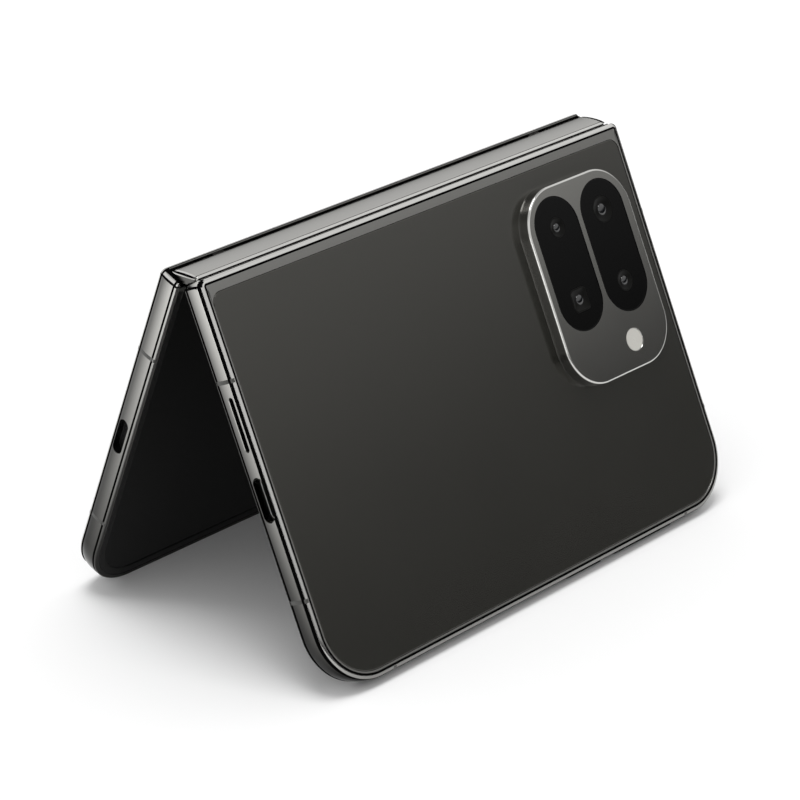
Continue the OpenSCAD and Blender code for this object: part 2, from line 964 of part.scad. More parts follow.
module swing_arm() {
    hinge_module()
        translate([rail_x + rail_clear, 0, 0])
            difference() {
                union() {
                    translate([0, 0, fold_w])
                        rotate([0, 90, 0])
                            rotate([0, 0, -90])
                                rotate_extrude(angle = 90 - rail_start)
                                    translate([rail_r, 0])
                                        square([rail_t, rail_w]);
                    translate([0, -rib_end - foot_len, foot_w0])
                        cube([rail_w, rib_end + foot_len - rail_r - 0.1, rail_t]);
                }
                translate([rail_w / 2, -rib_end - foot_len + 1.5, foot_w0 - 1])
                    cylinder(r = screw_r + 0.03, h = 3);
            }
}

module rear_swing_arms() {
    color(steel)
        place_rear()
            swing_arm();
}

module cover_swing_arms() {
    color(steel)
        place_cover()
            swing_arm();
}

module arm_screws() {
    hinge_module()
        translate([rail_x + rail_clear + rail_w / 2, -rib_end - foot_len + 1.5, 0]) {
            translate([0, 0, plate_top + 0.05])
                cylinder(r = screw_r - 0.02, h = foot_w1 - plate_top);
            translate([0, 0, foot_w1])
                cylinder(r = screw_r + 0.35, h = 0.3);
        }
}

module rear_arm_screws() {
    color(steel)
        place_rear()
            arm_screws();
}

module cover_arm_screws() {
    color(steel)
        place_cover()
            arm_screws();
}

button_back = -leg_len + wall_t + 0.4;

// Key with a flange behind the wall, so that it cannot fall out
module button(len, flange_len) {
    union() {
        translate([0, button_back, port_w])
            button_shape(len, 0, wall_t + 0.4 + button_proud);
        translate([0, button_back, port_w])
            button_shape(flange_len, 0.3, 0.3);
    }
}

module power_button() {
    color(metal)
        place_rear()
            translate([power_x, 0, 0])
                button(power_len, power_len + 1);
}

module volume_rocker() {
    color(metal)
        place_rear()
            translate([volume_x, 0, 0])
                button(volume_len, volume_len / 3);
}

module button_switches() {
    color(steel)
        place_rear()
            for (x = [power_x, volume_x - volume_len / 3, volume_x + volume_len / 3])
                translate([x - switch_w / 2, button_back + button_travel + inner_gap, plate_top])
                    cube([switch_w, switch_t, switch_h]);
}

module front_camera() {
    color(black)
        place_cover()
            translate([half_len - front_camera_side, -front_camera_s, plate_top])
                union() {
                    slab(0, 1.4)
                        square(front_camera_size, center = true);
                    cylinder(r = front_camera_r, h = seat_w - plate_top - 0.03);
                }
}

module cover_glass() {
    color("#1a1a1c")
        place_cover()
            half_glass();
}

module cover_display_panel() {
    color(black)
        place_cover()
            difference() {
                slab(seat_w - cover_panel_t, seat_w)
                    plan(wall_t + 0.4, rib_end + 0.4 + foot_len, 0);
                translate([half_len - front_camera_side, -front_camera_s, 0])
                    cylinder(r = front_camera_r + 0.4, h = half_t);
            }
}

module cover_board() {
    color(board_green)
        place_cover()
            slab(plate_top, plate_top + board_t)
                translate([cover_column_x + 2 * inner_clear, -leg_len + wall_t + board_edge])
                    square([board_x1 - cover_column_x - 2 * inner_clear, cover_board_len]);
}

module card_tray() {
    color(metal)
        place_cover()
            union() {
                translate([half_len - 1, -tray_s, port_w])
                    pill_x(tray_len, tray_h, 1);
                difference() {
                    translate([half_len - 1 - tray_depth, -tray_s - tray_len / 2 + 1, port_w - 0.35])
                        cube([tray_depth + eps, tray_len - 2, 0.7]);
                    translate([half_len - 3 - tray_depth + 3.5, -tray_s - tray_len / 2 + 2, port_w - 0.1])
                        cube([tray_depth - 4, tray_len - 4, 1]);
                }
            }
}

module card_reader() {
    color(steel)
        place_cover()
            translate([half_len - 2 - tray_depth, -tray_s, 0])
                difference() {
                    translate([0, -tray_len / 2, plate_top])
                        cube([tray_depth - 1.5, tray_len, 2.1]);
                    translate([0.5, -tray_len / 2 + 0.7, port_w - 0.5])
                        cube([tray_depth, tray_len - 1.4, 1]);
                }
}

// Outer section of the spine: crown, shadow line and sloping edge, right half
crown_y = spine_half_w - spine_edge_w;
edge_top = -crown_drop - crown_rise;
function crown_z(y) = -crown_drop - crown_rise * (y * y) / (crown_y * crown_y);
right_section = concat(
    [for (i = [0:5]) let (y = crown_y * i / 5) [y, crown_z(y)]],
    [
        [crown_y, edge_top - line_depth],
        [crown_y + line_w, edge_top - line_depth],
        [crown_y + line_w, edge_top]
    ],
    [for (i = [1:6]) let (a = 90 * i / 6)
        [crown_y + line_w + (spine_edge_w - line_w) * sin(a), edge_top - spine_edge_drop * (1 - cos(a))]]
);
left_section = [for (i = [len(right_section) - 1:-1:1]) [-right_section[i][0], right_section[i][1]]];

module spine_section() {
    polygon(concat(left_section, right_section,
        [[spine_half_w, -skirt_depth], [-spine_half_w, -skirt_depth]]));
}

module along_x(len) {
    rotate([90, 0, 90])
        translate([0, 0, -len / 2])
            linear_extrude(len)
                children();
}

module spine_cover() {
    inner_w = spine_half_w - spine_wall;
    color(metal)
        place_spine()
            difference() {
                along_x(frame_len - 2 * spine_inset)
                    spine_section();
                along_x(frame_len)
                    polygon([
                        [-inner_w, -skirt_depth - 1], [-inner_w, edge_top - spine_edge_drop],
                        [-crown_y, edge_top - spine_wall], [crown_y, edge_top - spine_wall],
                        [inner_w, edge_top - spine_edge_drop], [inner_w, -skirt_depth - 1]
                    ]);
                hinge_module()
                    translate([sync_x - side_gap, -spine_half_w - 1, -skirt_depth - 1])
                        cube([sync_w + 2 * side_gap, 2 * spine_half_w + 2,
                            skirt_depth + 1 - notch_top]);
                spine_screw_places()
                    translate([0, 0, -block_top - 1])
                        cylinder(r = screw_r - 0.1, h = 1.15);
            }
}

module hinge_end_caps() {
    cap_w = spine_half_w - cap_step;
    cap_top = crown_drop + cap_step;
    plug_w = block_half_w - 0.05;
    color(dark_metal)
        place_spine()
            both_ends() {
                translate([half_len - spine_inset, 0, 0])
                    rotate([90, 0, 90])
                        linear_extrude(spine_inset - cap_inset)
                            polygon(concat(
                                arc(cap_w - 0.8, -cap_top - 0.9, 0.8, 0, 80, 6),
                                arc(-cap_w + 0.8, -cap_top - 0.9, 0.8, 100, 180, 6),
                                arc(-cap_w + 1.6, -block_depth + 0.4, 0.4, 180, 270, 4),
                                arc(cap_w - 1.6, -block_depth + 0.4, 0.4, 270, 360, 4)
                            ));
                translate([half_len - spine_inset - plug_len, -plug_w, -skirt_depth - 0.3])
                    cube([plug_len + eps, 2 * plug_w, skirt_depth + 0.3 - block_top - 0.35]);
            }
}

module cheek(x) {
    translate([x, -block_half_w, -block_depth])
        cube([cheek_t, 2 * block_half_w, block_depth - block_top - 0.35]);
    translate([x, -crown_y, -block_depth])
        cube([cheek_t, 2 * crown_y, block_depth - block_top]);
}

module spine_screw_places() {
    hinge_module()
        for (x = [third_cheek_x + cheek_t / 2])
            for (y = [-1.2, 1.2])
                translate([x, y, 0])
                    children();
}

module hinge_base_blocks() {
    shoe_r = rail_r - rail_gap;
    color(steel)
        place_spine()
            difference() {
                hinge_module() {
                    cheek(0);
                    cheek(second_cheek_x);
                    cheek(third_cheek_x);
                    translate([0, -0.55, -block_depth])
                        cube([module_len, 1.1, tray_t]);
                    translate([gear_x - side_gap, -2.6, -block_depth])
                        cube([gear_w + side_gap, 5.2, tray_t]);
                    intersection() {
                        for (sy = [-1, 1])
                            translate([rail_x - eps, sy * fold_offset, 0])
                                rotate([0, 90, 0])
                                    cylinder(r = shoe_r, h = rail_zone + 2 * eps);
                        translate([rail_x - eps, -fold_offset - 0.4, -block_depth])
                            cube([rail_zone + 2 * eps, 2 * fold_offset + 0.8,
                                block_depth - skirt_depth - 0.05]);
                    }
                    intersection() {
                        for (sy = [-1, 1])
                            translate([rail_x - eps, sy * fold_offset, 0])
                                rotate([0, 90, 0])
                                    cylinder(r = shoe_r, h = rail_zone + 2 * eps);
                        translate([rail_x - eps, -block_half_w, -block_depth])
                            cube([rail_zone + 2 * eps, 2 * block_half_w, block_depth - block_top - 0.35]);
                    }
                    translate([rail_x - eps, -0.9, -block_depth])
                        cube([rail_zone + 2 * eps, 1.8, block_depth - block_top]);
                }
                hinge_module()
                    for (y = shaft_y)
                        translate([-1, y, -gear_drop])
                            rotate([0, 90, 0])
                                cylinder(r = shaft_r + 0.01, h = second_cheek_x + cheek_t - 0.4 + 1);
                spine_screw_places() {
                    translate([0, 0, -block_depth - 1])
                        cylinder(r = screw_r - 0.07, h = block_depth + 1);
                    translate([0, 0, -block_depth - 1])
                        cylinder(r = screw_r + 0.15, h = 1.25);
                }
            }
}

module spine_screws() {
    color(steel)
        place_spine()
            spine_screw_places() {
                translate([0, 0, -block_depth + 0.02])
                    cylinder(r = screw_r + 0.12, h = 0.22);
                translate([0, 0, -block_depth + 0.1])
                    cylinder(r = screw_r - 0.12, h = block_depth - block_top);
            }
}

spring_zone = spring_count * (spring_t + 0.1) + 0.1;

module gear_shafts() {
    color(steel)
        place_spine()
            hinge_module()
                for (i = [0:3])
                    translate([i == 0 || i == 3 ? -spring_zone : 0.1, shaft_y[i], -gear_drop])
                        rotate([0, 90, 0])
                            cylinder(r = shaft_r, h = second_cheek_x + cheek_t - 0.5
                                + (i == 0 || i == 3 ? spring_zone : -0.1));
}

module friction_springs() {
    color(steel)
        place_spine()
            hinge_module()
                for (i = [0, 3])
                    for (k = [0:spring_count - 1])
                        translate([-0.05 - spring_t - k * (spring_t + 0.1), shaft_y[i], -gear_drop])
                            rotate([0, 90, 0])
                                difference() {
                                    cylinder(r = spring_r, h = spring_t);
                                    translate([0, 0, -1])
                                        cylinder(r = shaft_r + 0.01, h = 3);
                                }
}

module fold_support_plate() {
    len = frame_len - 2 * (module_inset + module_len + 0.5);
    color(steel)
        place_spine() {
            along_x(len)
                polygon([
                    [-block_half_w, -block_depth], [block_half_w, -block_depth],
                    [block_half_w, -block_depth + 0.3], [0.9, -block_depth + 0.3],
                    [0.9, -block_top], [-0.9, -block_top],
                    [-0.9, -block_depth + 0.3], [-block_half_w, -block_depth + 0.3]
                ]);
        }
}

pitch_r = gear_pitch / 2;
gear_m = gear_pitch / gear_teeth;
tip_r = pitch_r + 0.92 * gear_m;
root_r = pitch_r - 1.12 * gear_m;

// Spur gear outline with a tooth at angle phase
function gear_outline(phase) = [
    for (k = [0:gear_teeth - 1])
        let (a = phase + k * 360 / gear_teeth)
            for (p = [[root_r, -15], [pitch_r, -6.6], [tip_r, -2.6], [tip_r, 2.6], [pitch_r, 6.6], [root_r, 15]])
                [p[0] * cos(a + p[1] * 10 / gear_teeth), p[0] * sin(a + p[1] * 10 / gear_teeth)]
];

module gear(phase) {
    rotate([90, 0, 90])
        linear_extrude(gear_w)
            polygon(gear_outline(phase));
}

module shaft_bore() {
    translate([-1, 0, 0])
        rotate([0, 90, 0])
            cylinder(r = shaft_r + shaft_gap, h = gear_w + sync_w + 2);
}

// Sync arm on the rear half's side; its gear and blade turn together
module sync_arm(phase) {
    hinge_module()
        translate([gear_x, 0, 0])
            difference() {
                union() {
                    gear(phase);
                    translate([gear_w - eps, 0, 0])
                        rotate([0, 90, 0])
                            cylinder(r = pitch_r - 0.05, h = sync_w + eps);
                    rotate([-stance_angle, 0, 0])
                        translate([gear_w, -sync_shift - sync_t / 2, -sync_len])
                            cube([sync_w, sync_t, sync_len - 0.1]);
                }
                shaft_bore();
            }
}

module rear_sync_arms() {
    color(steel)
        place_spine()
            translate([0, shaft_y[0], -gear_drop])
                sync_arm(0);
}

module cover_sync_arms() {
    color(steel)
        place_spine()
            mirror([0, 1, 0])
                translate([0, shaft_y[0], -gear_drop])
                    sync_arm(180 / gear_teeth);
}

module idler(i, phase) {
    color(steel)
        place_spine()
            hinge_module()
                translate([gear_x, shaft_y[i], -gear_drop])
                    difference() {
                        gear(phase);
                        shaft_bore();
                    }
}

module rear_idler_gears() {
    idler(1, 180 / gear_teeth);
}

module cover_idler_gears() {
    idler(2, 0);
}

// Flexible middle of the inner display, bent over the hinge blocks in the stance
fold_mid = display_recess + display_t / 2;
fold_end = fold_start - 0.02;
fold_end_y = fold_offset - (fold_w - fold_mid) * cos(stance_angle) + fold_end * sin(stance_angle);
fold_end_z = -(fold_w - fold_mid) * sin(stance_angle) - fold_end * cos(stance_angle);
fold_top = -block_depth - 0.1 - display_t / 2;
fold_steps = 12;
function fold_curve(t) = let (a = 1 - t * t) [fold_end_y * t, fold_end_z + (fold_top - fold_end_z) * a * (2 - a)];
function fold_normal(t) = let (d = fold_curve(min(t + 0.01, 1)) - fold_curve(max(t - 0.01, -1)), n = norm(d))
    [-d[1] / n, d[0] / n];
function fold_side(sign) = [
    for (i = [0:fold_steps])
        let (t = -1 + 2 * i / fold_steps)
            fold_curve(t) + sign * display_t / 2 * fold_normal(t)
];

module inner_display_fold() {
    upper = fold_side(1);
    lower = fold_side(-1);
    color(black)
        place_spine()
            along_x(frame_len - 2 * fold_inset)
                polygon(concat(upper, [for (i = [fold_steps:-1:0]) lower[i]]));
}

spine_cover();
hinge_end_caps();
hinge_base_blocks();
gear_shafts();
friction_springs();
spine_screws();
fold_support_plate();
rear_sync_arms();
cover_sync_arms();
rear_idler_gears();
cover_idler_gears();
rear_frame();
rear_antenna_bands();
back_glass();
camera_island();
lens_windows();
main_camera();
wide_camera();
tele_camera();
portrait_camera();
depth_sensor();
flash_lens();
flash_board();
rear_battery();
main_board();
board_shields();
usb_port();
rear_speaker();
rear_speaker_mesh();
vibration_motor();
charging_coil();
rear_display_half();
rear_bezel();
rear_swing_arms();
power_button();
volume_rocker();
button_switches();
rear_arm_screws();
cover_frame();
cover_antenna_bands();
cover_glass();
cover_display_panel();
front_camera();
cover_battery();
cover_board();
cover_speaker();
cover_speaker_mesh();
cover_display_half();
cover_bezel();
cover_swing_arms();
cover_arm_screws();
card_tray();
card_reader();
inner_display_fold();
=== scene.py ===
import json
import math
from types import SimpleNamespace

import bmesh
import bpy
from mathutils import Matrix, Vector


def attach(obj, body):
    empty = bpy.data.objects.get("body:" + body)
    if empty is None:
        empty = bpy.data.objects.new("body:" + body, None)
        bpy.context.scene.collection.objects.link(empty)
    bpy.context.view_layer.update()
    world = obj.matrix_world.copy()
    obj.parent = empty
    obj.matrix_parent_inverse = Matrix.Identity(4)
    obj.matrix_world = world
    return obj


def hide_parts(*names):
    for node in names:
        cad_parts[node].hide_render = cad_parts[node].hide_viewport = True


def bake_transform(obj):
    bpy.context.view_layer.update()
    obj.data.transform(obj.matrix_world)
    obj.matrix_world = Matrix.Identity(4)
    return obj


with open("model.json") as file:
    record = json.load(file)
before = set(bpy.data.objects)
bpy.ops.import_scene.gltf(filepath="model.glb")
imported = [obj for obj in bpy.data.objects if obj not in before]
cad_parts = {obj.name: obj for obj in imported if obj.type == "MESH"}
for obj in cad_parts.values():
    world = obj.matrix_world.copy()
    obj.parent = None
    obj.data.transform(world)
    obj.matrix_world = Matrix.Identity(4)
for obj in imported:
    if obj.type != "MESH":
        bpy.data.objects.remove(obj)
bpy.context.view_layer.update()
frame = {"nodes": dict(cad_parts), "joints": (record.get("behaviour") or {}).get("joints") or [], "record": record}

bl_info = {
    "name": "Folding Phone",
    "version": (1, 0, 0),
    "blender": (4, 5, 0),
    "location": "3D View > Sidebar > Phone",
    "description": "Builds a folding phone that stands as a tent, piece by piece",
    "category": "Add Mesh",
}

MM = 0.001
JOINTS = {j["name"]: j for j in frame["joints"]}
FOLD = [c / MM for c in JOINTS["rear_fold"]["pos_m"]]
STANCE = -JOINTS["rear_fold"]["range_deg"][0]
OPENING = JOINTS["rear_fold"]["range_deg"][1]
BODY = {"rear": "rear_half", "cover": "cover_half", "spine": "spine"}
SIGN = {"rear": -1, "cover": 1}

# Millimetres from here on. Depth of the seat of the glass, heights of the plate that carries the
# inner display, and height of the middle of the openings in the sides.
SEAT, PLATE_LOW, PLATE_TOP, PORT_W = 0.7, 0.85, 1.3, 2.62
# The lens windows' distances from the island's side and start, and from each other.
WINDOW_IN, WINDOW_START, WINDOW_APART = 2.5, 2.3, 14.5
# The flash's distances from the end of the half and from the fold axis.
FLASH_IN, FLASH_S, FLASH_W = 17.7, 44.6, 4.9


# ---------------------------------------------------------------- sizes and colours

def length(name, mm, description):
    """A length property given in millimetres."""
    return bpy.props.FloatProperty(name=name, description=description, default=mm * MM,
                                   min=0.0, unit="LENGTH", precision=5)


def colour(name, rgb, description):
    return bpy.props.FloatVectorProperty(name=name, description=description, default=rgb,
                                         subtype="COLOR", size=3, min=0.0, max=1.0)


class PhoneSizes(bpy.types.PropertyGroup):
    half_len: length("Half width", 61.0, "Half of the phone's width along the hinge")
    leg: length("Half length", 84.2, "Length of each half from the fold axis")
    thick: length("Thickness", 5.0, "Thickness of each half")
    free_r: length("Free corner", 12.5, "Radius of the corners at the free edge")
    hinge_r: length("Hinge corner", 1.6, "Radius of the corners beside the hinge")
    setback: length("Hinge setback", 0.65, "Distance from the fold axis to the end of a half")
    wall: length("Wall", 2.1, "Thickness of the frame walls")
    # The bevel's brightness comes from its lighter colour, a painted highlight.
    bevel_w: length("Bevel width", 0.95, "Width of the polished bevel")
    bevel_h: length("Bevel height", 0.55, "Height of the polished bevel")
    line_w: length("Shadow line", 0.44, "Width of the lines beside the bevel")
    line_d: length("Line depth", 0.12, "Depth of the lines beside the bevel")
    band: length("Band", 0.34, "Width of the flat band round the glass")
    hinge_band: length("Hinge band", 1.75, "Width of the flat band at the hinge")
    front_round: length("Front rounding", 0.34, "Rounding beside the inner display")
    rim: length("Rim", 1.2, "Metal rim round the inner display")
    side_crown: length("Side crown", 0.26, "How far the side leans in towards the bevel")
    glass_r: length("Glass corner", 2.4, "Radius of the glass corners beside the hinge")
    fold_gap: length("Shut gap", 0.12, "Half of the gap between the displays when shut")
    lip: length("Lip", 1.2, "Thickness of the lip over the hinge pocket")
    pocket: length("Pocket", 2.75, "Length of the hinge pocket")
    rib: length("Rib", 0.9, "Rib behind the hinge pocket")
    spine_w: length("Spine half width", 3.2, "Half width of the spine")
    island_w: length("Island width", 32.1, "Width of the camera island")
    island_len: length("Island length", 42.8, "Length of the camera island")
    island_s: length("Island start", 7.9, "Distance of the island from the fold axis")
    island_side: length("Island side", 6.0, "Distance of the island from the end")
    island_h: length("Island height", 2.7, "Height of the island")
    island_r: length("Island corner", 9.5, "Corner radius of the island")
    island_round: length("Island rounding", 0.42, "Rounding of the island's top edge")
    pill_w: length("Window width", 13.0, "Width of a lens window")
    pill_len: length("Window length", 28.6, "Length of a lens window")


class PhoneColours(bpy.types.PropertyGroup):
    metal: colour("Metal", (0.27, 0.267, 0.255), "Anodised frame")
    spine: colour("Spine", (0.38, 0.376, 0.36), "Spine between the halves")
    # A lighter copy of the metal, a painted highlight on the bevel, the spine's slope, the roof's edge and the
    # island's rim.
    bevel: colour("Bevel", (0.60, 0.595, 0.575), "Polished bevel")
    back: colour("Back", (0.0108, 0.0106, 0.0088), "Matt back glass")
    island: colour("Island", (0.30, 0.297, 0.28), "Camera island")
    trim: colour("Trim", (0.05, 0.05, 0.046), "Antenna bands and bezels")
    black: colour("Black", (0.0025, 0.0025, 0.0025), "Display and lens windows")


def sizes():
    """The scene's sizes in millimetres, with the ones that follow from them."""
    group = bpy.context.scene.phone_sizes
    s = SimpleNamespace(**{k: getattr(group, k) / MM for k in PhoneSizes.__annotations__})
    s.offset = -FOLD[1]
    s.axis_z = FOLD[2]
    s.fold_w = s.offset - s.fold_gap
    s.line_w1 = s.thick - s.bevel_h
    s.line_start = {side: s.line_w1 - SIDE_LINE[side] for side in SIGN}
    s.front_edge = s.side_crown * FRONT_LEAN
    s.bevel_end = s.bevel_w + s.line_w
    s.glass_inset = s.bevel_end + s.band
    s.glass_s = s.setback + s.bevel_end + s.hinge_band
    s.seat = s.thick - SEAT
    s.rib_end = s.pocket + s.rib
    s.island_x = s.half_len - s.island_side - s.island_w / 2
    s.island_y = s.island_s + s.island_len / 2
    s.island_top = s.thick + s.island_h
    s.flash = (s.half_len - FLASH_IN, FLASH_S)
    s.pill_y = s.island_s + WINDOW_START + s.pill_len / 2
    outer = s.half_len - s.island_side - WINDOW_IN - s.pill_w / 2
    s.pill_x = (outer - WINDOW_APART, outer)
    s.pill_end = s.pill_len / 2 - s.pill_w / 2
    return s


# ---------------------------------------------------------------- places

def on_spine(x, y, z):
    """Maps a point drawn from the middle of the fold axes, in millimetres."""
    return Vector((x, y, z + FOLD[2])) * MM


def stand(side):
    """Maps (x, s, w) of a flat half, in millimetres, to the standing tent in metres."""
    if side == "spine":
        return on_spine
    p, sin, cos, sign = sizes(), sind(STANCE), cosd(STANCE), SIGN[side]

    def place(x, s, w):
        out = p.offset + s * sin + (w - p.fold_w) * cos
        return Vector((x, sign * out, p.axis_z - s * cos + (w - p.fold_w) * sin)) * MM
    return place


def span(sign, a, b):
    """Two distances from the middle as places on one side of it, the lower one first."""
    return sorted((sign * a, sign * b))


# ---------------------------------------------------------------- outlines

def cosd(degrees):
    """Cosine of an angle in degrees."""
    return math.cos(math.radians(degrees))


def sind(degrees):
    """Sine of an angle in degrees."""
    return math.sin(math.radians(degrees))


def arc(cx, cy, r, a0, a1, n):
    """Points of an arc from a0 to a1 degrees, both ends included."""
    turns = [a0 + (a1 - a0) * i / n for i in range(n + 1)]
    return [(cx + r * cosd(a), cy + r * sind(a)) for a in turns]


def rounded(cx, cy, w, h, r, n):
    """Closed outline of a rounded rectangle, with n steps round each corner."""
    r = min(r, w / 2 - 1e-4, h / 2 - 1e-4)
    x, y = w / 2 - r, h / 2 - r
    corners = ((x, y), (-x, y), (-x, -y), (x, -y))
    return [q for i, (a, b) in enumerate(corners)
            for q in arc(cx + a, cy + b, r, 90 * i, 90 * i + 90, n)]


def dome(r, base, height):
    """Steps of (radius, place) over a dome, up to a small flat top."""
    return [(r * cosd(a), base + height * sind(a)) for a in (0, 15, 30, 45, 60, 75, 86)]


BANDS_SIDE, BAND_BOTTOM = (20.4, 64.4), 44.9
BAND_ENDS = (-0.4, 0.4)
HINGE_STEPS, FREE_STEPS = 10, 32
SIDE_STOPS = sorted([s + e for s in BANDS_SIDE for e in BAND_ENDS]
                    + [3, 8, 14, 28, 36, 44, 52, 60, 68])
BOTTOM_STOPS = ([-BAND_BOTTOM + e for e in BAND_ENDS] + [-30, -15, 0, 15, 30]
                + [BAND_BOTTOM + e for e in BAND_ENDS])
TOP_STOPS = (45, 30, 15, 0, -15, -30, -45)
TOP_COUNT = len(TOP_STOPS)


def outline(p, inset, top, top_r):
    """Closed plan of a half as (x, s), from the hinge's left corner round the free edge."""
    x, e, r = p.half_len - inset, p.leg - inset, p.free_r - inset
    top_r = max(top_r, 0.02)
    left = arc(-x + top_r, top + top_r, top_r, 270, 180, HINGE_STEPS)
    left += [(-x, s) for s in SIDE_STOPS]
    left += arc(-x + r, e - r, r, 180, 90, FREE_STEPS)
    right = [(-a, b) for a, b in reversed(left)]
    return left + [(a, e) for a in BOTTOM_STOPS] + right + [(a, top) for a in TOP_STOPS]


def plan_rows(p, steps, inset, top, r, follow=True):
    """Rows of a half's plan for steps of (further in, height). The edge beside the hinge goes in
    with them where follow is set, and otherwise stays."""
    rows = []
    for d, w in steps:
        e = d if follow else 0.0
        rows.append([(x, s, w) for x, s in outline(p, inset + d, top + e, r - e)])
    return rows


# ---------------------------------------------------------------- mesh building

ROUND = 99.0
AXES = {"x": lambda a, b, c: (c, a, b), "s": lambda a, b, c: (a, c, b),
        "w": lambda a, b, c: (a, b, c)}


class Form:
    """Faces gathered in the coordinates of a place function, then made into one piece."""

    def __init__(self, place):
        self.place, self.points, self.faces, self.marks = place, [], [], []

    def cap(self, first, count, mark, step=1):
        """One face over a loop of points."""
        self.faces.append(tuple(range(first, first + count * step, step)))
        self.marks.append(mark)

    def grid(self, rows, around=True, along=True, caps=False, marks=0, columns=None):
        """Quads between rows of points. around joins the last row to the first, along the last
        point of each row to its first, and caps close the ends of what is open. marks gives the
        material of all rows or of each, and columns one for columns where the row has the
        first material."""
        base, n, count = len(self.points), len(rows[0]), len(rows)
        if isinstance(marks, int):
            marks = [marks] * count
        self.points += [self.place(*q) for row in rows for q in row]
        for i in range(count if around else count - 1):
            a, b = base + i * n, base + (i + 1) % count * n
            for j in range(n if along else n - 1):
                k = (j + 1) % n
                self.faces.append((a + j, a + k, b + k, b + j))
                self.marks.append(marks[i] or (columns or {}).get(j, 0))
        if caps and along:
            for i in (0, count - 1):
                self.cap(base + i * n, n, marks[i])
        elif caps:
            for j in (0, n - 1):
                self.cap(base + j, count, marks[0], n)

    def stack(self, steps, centre, size=(0.0, 0.0), corner=ROUND, n=12, axis="w", caps=True,
              marks=0):
        """Rounded rectangles led along an axis in steps of (growth, place). A size of nothing
        makes the growth a radius. corner is a length, or gives one for a growth."""
        rows = []
        for g, c in steps:
            loop = rounded(*centre, size[0] + 2 * g, size[1] + 2 * g,
                           corner(g) if callable(corner) else corner, n)
            rows.append([AXES[axis](a, b, c) for a, b in loop])
        self.grid(rows, around=False, caps=caps, marks=marks)

    def box(self, x0, x1, s0, s1, w0, w1, mark=0):
        self.grid([[(x0, s0, w), (x1, s0, w), (x1, s1, w), (x0, s1, w)] for w in (w0, w1)],
                  around=False, caps=True, marks=mark)

    def piece(self, name, finishes, angle=32.0, weighted=True):
        """One closed, outward mesh, smooth up to the angle."""
        obj = new_object(name, self.points, self.faces, [mat(f) for f in finishes], self.marks)
        turn_out(obj)
        return smooth(obj, angle, weighted)


def new_object(name, points, faces=(), materials=(), marks=()):
    """An object in the scene with a mesh of the points and faces."""
    mesh = bpy.data.meshes.new(name)
    mesh.from_pydata(points, [], faces)
    for material in materials:
        mesh.materials.append(material)
    if marks:
        mesh.polygons.foreach_set("material_index", marks)
    obj = bpy.data.objects.new(name, mesh)
    bpy.context.scene.collection.objects.link(obj)
    return obj


def turn_out(obj):
    """Merges doubles and turns the faces outward."""
    work = bmesh.new()
    work.from_mesh(obj.data)
    bmesh.ops.remove_doubles(work, verts=work.verts, dist=1e-7)
    bmesh.ops.dissolve_degenerate(work, edges=work.edges, dist=1e-8)
    bmesh.ops.recalc_face_normals(work, faces=work.faces)
    work.to_mesh(obj.data)
    work.free()


def smooth(obj, angle, weighted=True):
    """Shades the object smooth, but for edges sharper than the angle."""
    obj.data.polygons.foreach_set("use_smooth", [True] * len(obj.data.polygons))
    obj.data.set_sharp_from_angle(angle=math.radians(angle))
    if weighted:
        obj.modifiers.new("weighted", "WEIGHTED_NORMAL").keep_sharp = True
        bake(obj)
    return obj


def bake(obj):
    """Replaces an object's mesh by its evaluated one and drops its modifiers."""
    graph = bpy.context.evaluated_depsgraph_get()
    graph.update()
    mesh = bpy.data.meshes.new_from_object(obj.evaluated_get(graph), depsgraph=graph)
    obj.modifiers.clear()
    old, obj.data = obj.data, mesh
    mesh.name = obj.name
    if not old.users:
        bpy.data.meshes.remove(old)


def cut(obj, form):
    """Takes the form's solid out of the object."""
    tool = new_object("cutter", form.points, form.faces, obj.data.materials, form.marks)
    turn_out(tool)
    mod = obj.modifiers.new("cut", "BOOLEAN")
    mod.object, mod.operation, mod.solver = tool, "DIFFERENCE", "MANIFOLD"
    bake(obj)
    bpy.data.objects.remove(tool)


def bore(obj, place, *stack, **options):
    """Takes a stack of rounded rectangles out of the object."""
    form = Form(place)
    form.stack(*stack, **options)
    cut(obj, form)


def settle(obj, body, slot, *nodes):
    """Rides the piece on its body and hides the CAD nodes it stands for."""
    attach(obj, body)
    if nodes:
        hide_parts(*nodes)


# ---------------------------------------------------------------- shader groups

def fill(node, values):
    """Sets a node's inputs by their names."""
    for label, value in values.items():
        node.inputs[label].default_value = value


def math_node(tree, operation, *values):
    """The result of a math node whose inputs are numbers or sockets."""
    node = tree.nodes.new("ShaderNodeMath")
    node.operation = operation
    for socket, value in zip(node.inputs, values):
        if isinstance(value, float):
            socket.default_value = value
        else:
            tree.links.new(value, socket)
    return node.outputs[0]


def grey(tree, value):
    """A value as a grey colour."""
    node = tree.nodes.new("ShaderNodeCombineColor")
    for channel in ("Red", "Green", "Blue"):
        tree.links.new(value, node.inputs[channel])
    return node.outputs["Color"]


def multiply(tree, first, second):
    """A plain colour or a colour socket, times a colour socket."""
    mix = tree.nodes.new("ShaderNodeMix")
    mix.data_type, mix.blend_type = "RGBA", "MULTIPLY"
    mix.inputs["Factor"].default_value = 1.0
    if isinstance(first, tuple):
        mix.inputs["A"].default_value = (*first, 1.0)
    else:
        tree.links.new(first, mix.inputs["A"])
    tree.links.new(second, mix.inputs["B"])
    return mix.outputs["Result"]


def group_tree(name, inputs, outputs, kind):
    """A shader group with named numbers going in and outputs of one kind."""
    tree = bpy.data.node_groups.new(name, "ShaderNodeTree")
    for label, value in inputs.items():
        socket = tree.interface.new_socket(label, in_out="INPUT", socket_type="NodeSocketFloat")
        socket.default_value = value
    for label in outputs:
        tree.interface.new_socket(label, in_out="OUTPUT", socket_type=kind)
    return tree, tree.nodes.new("NodeGroupInput").outputs, tree.nodes.new("NodeGroupOutput").inputs


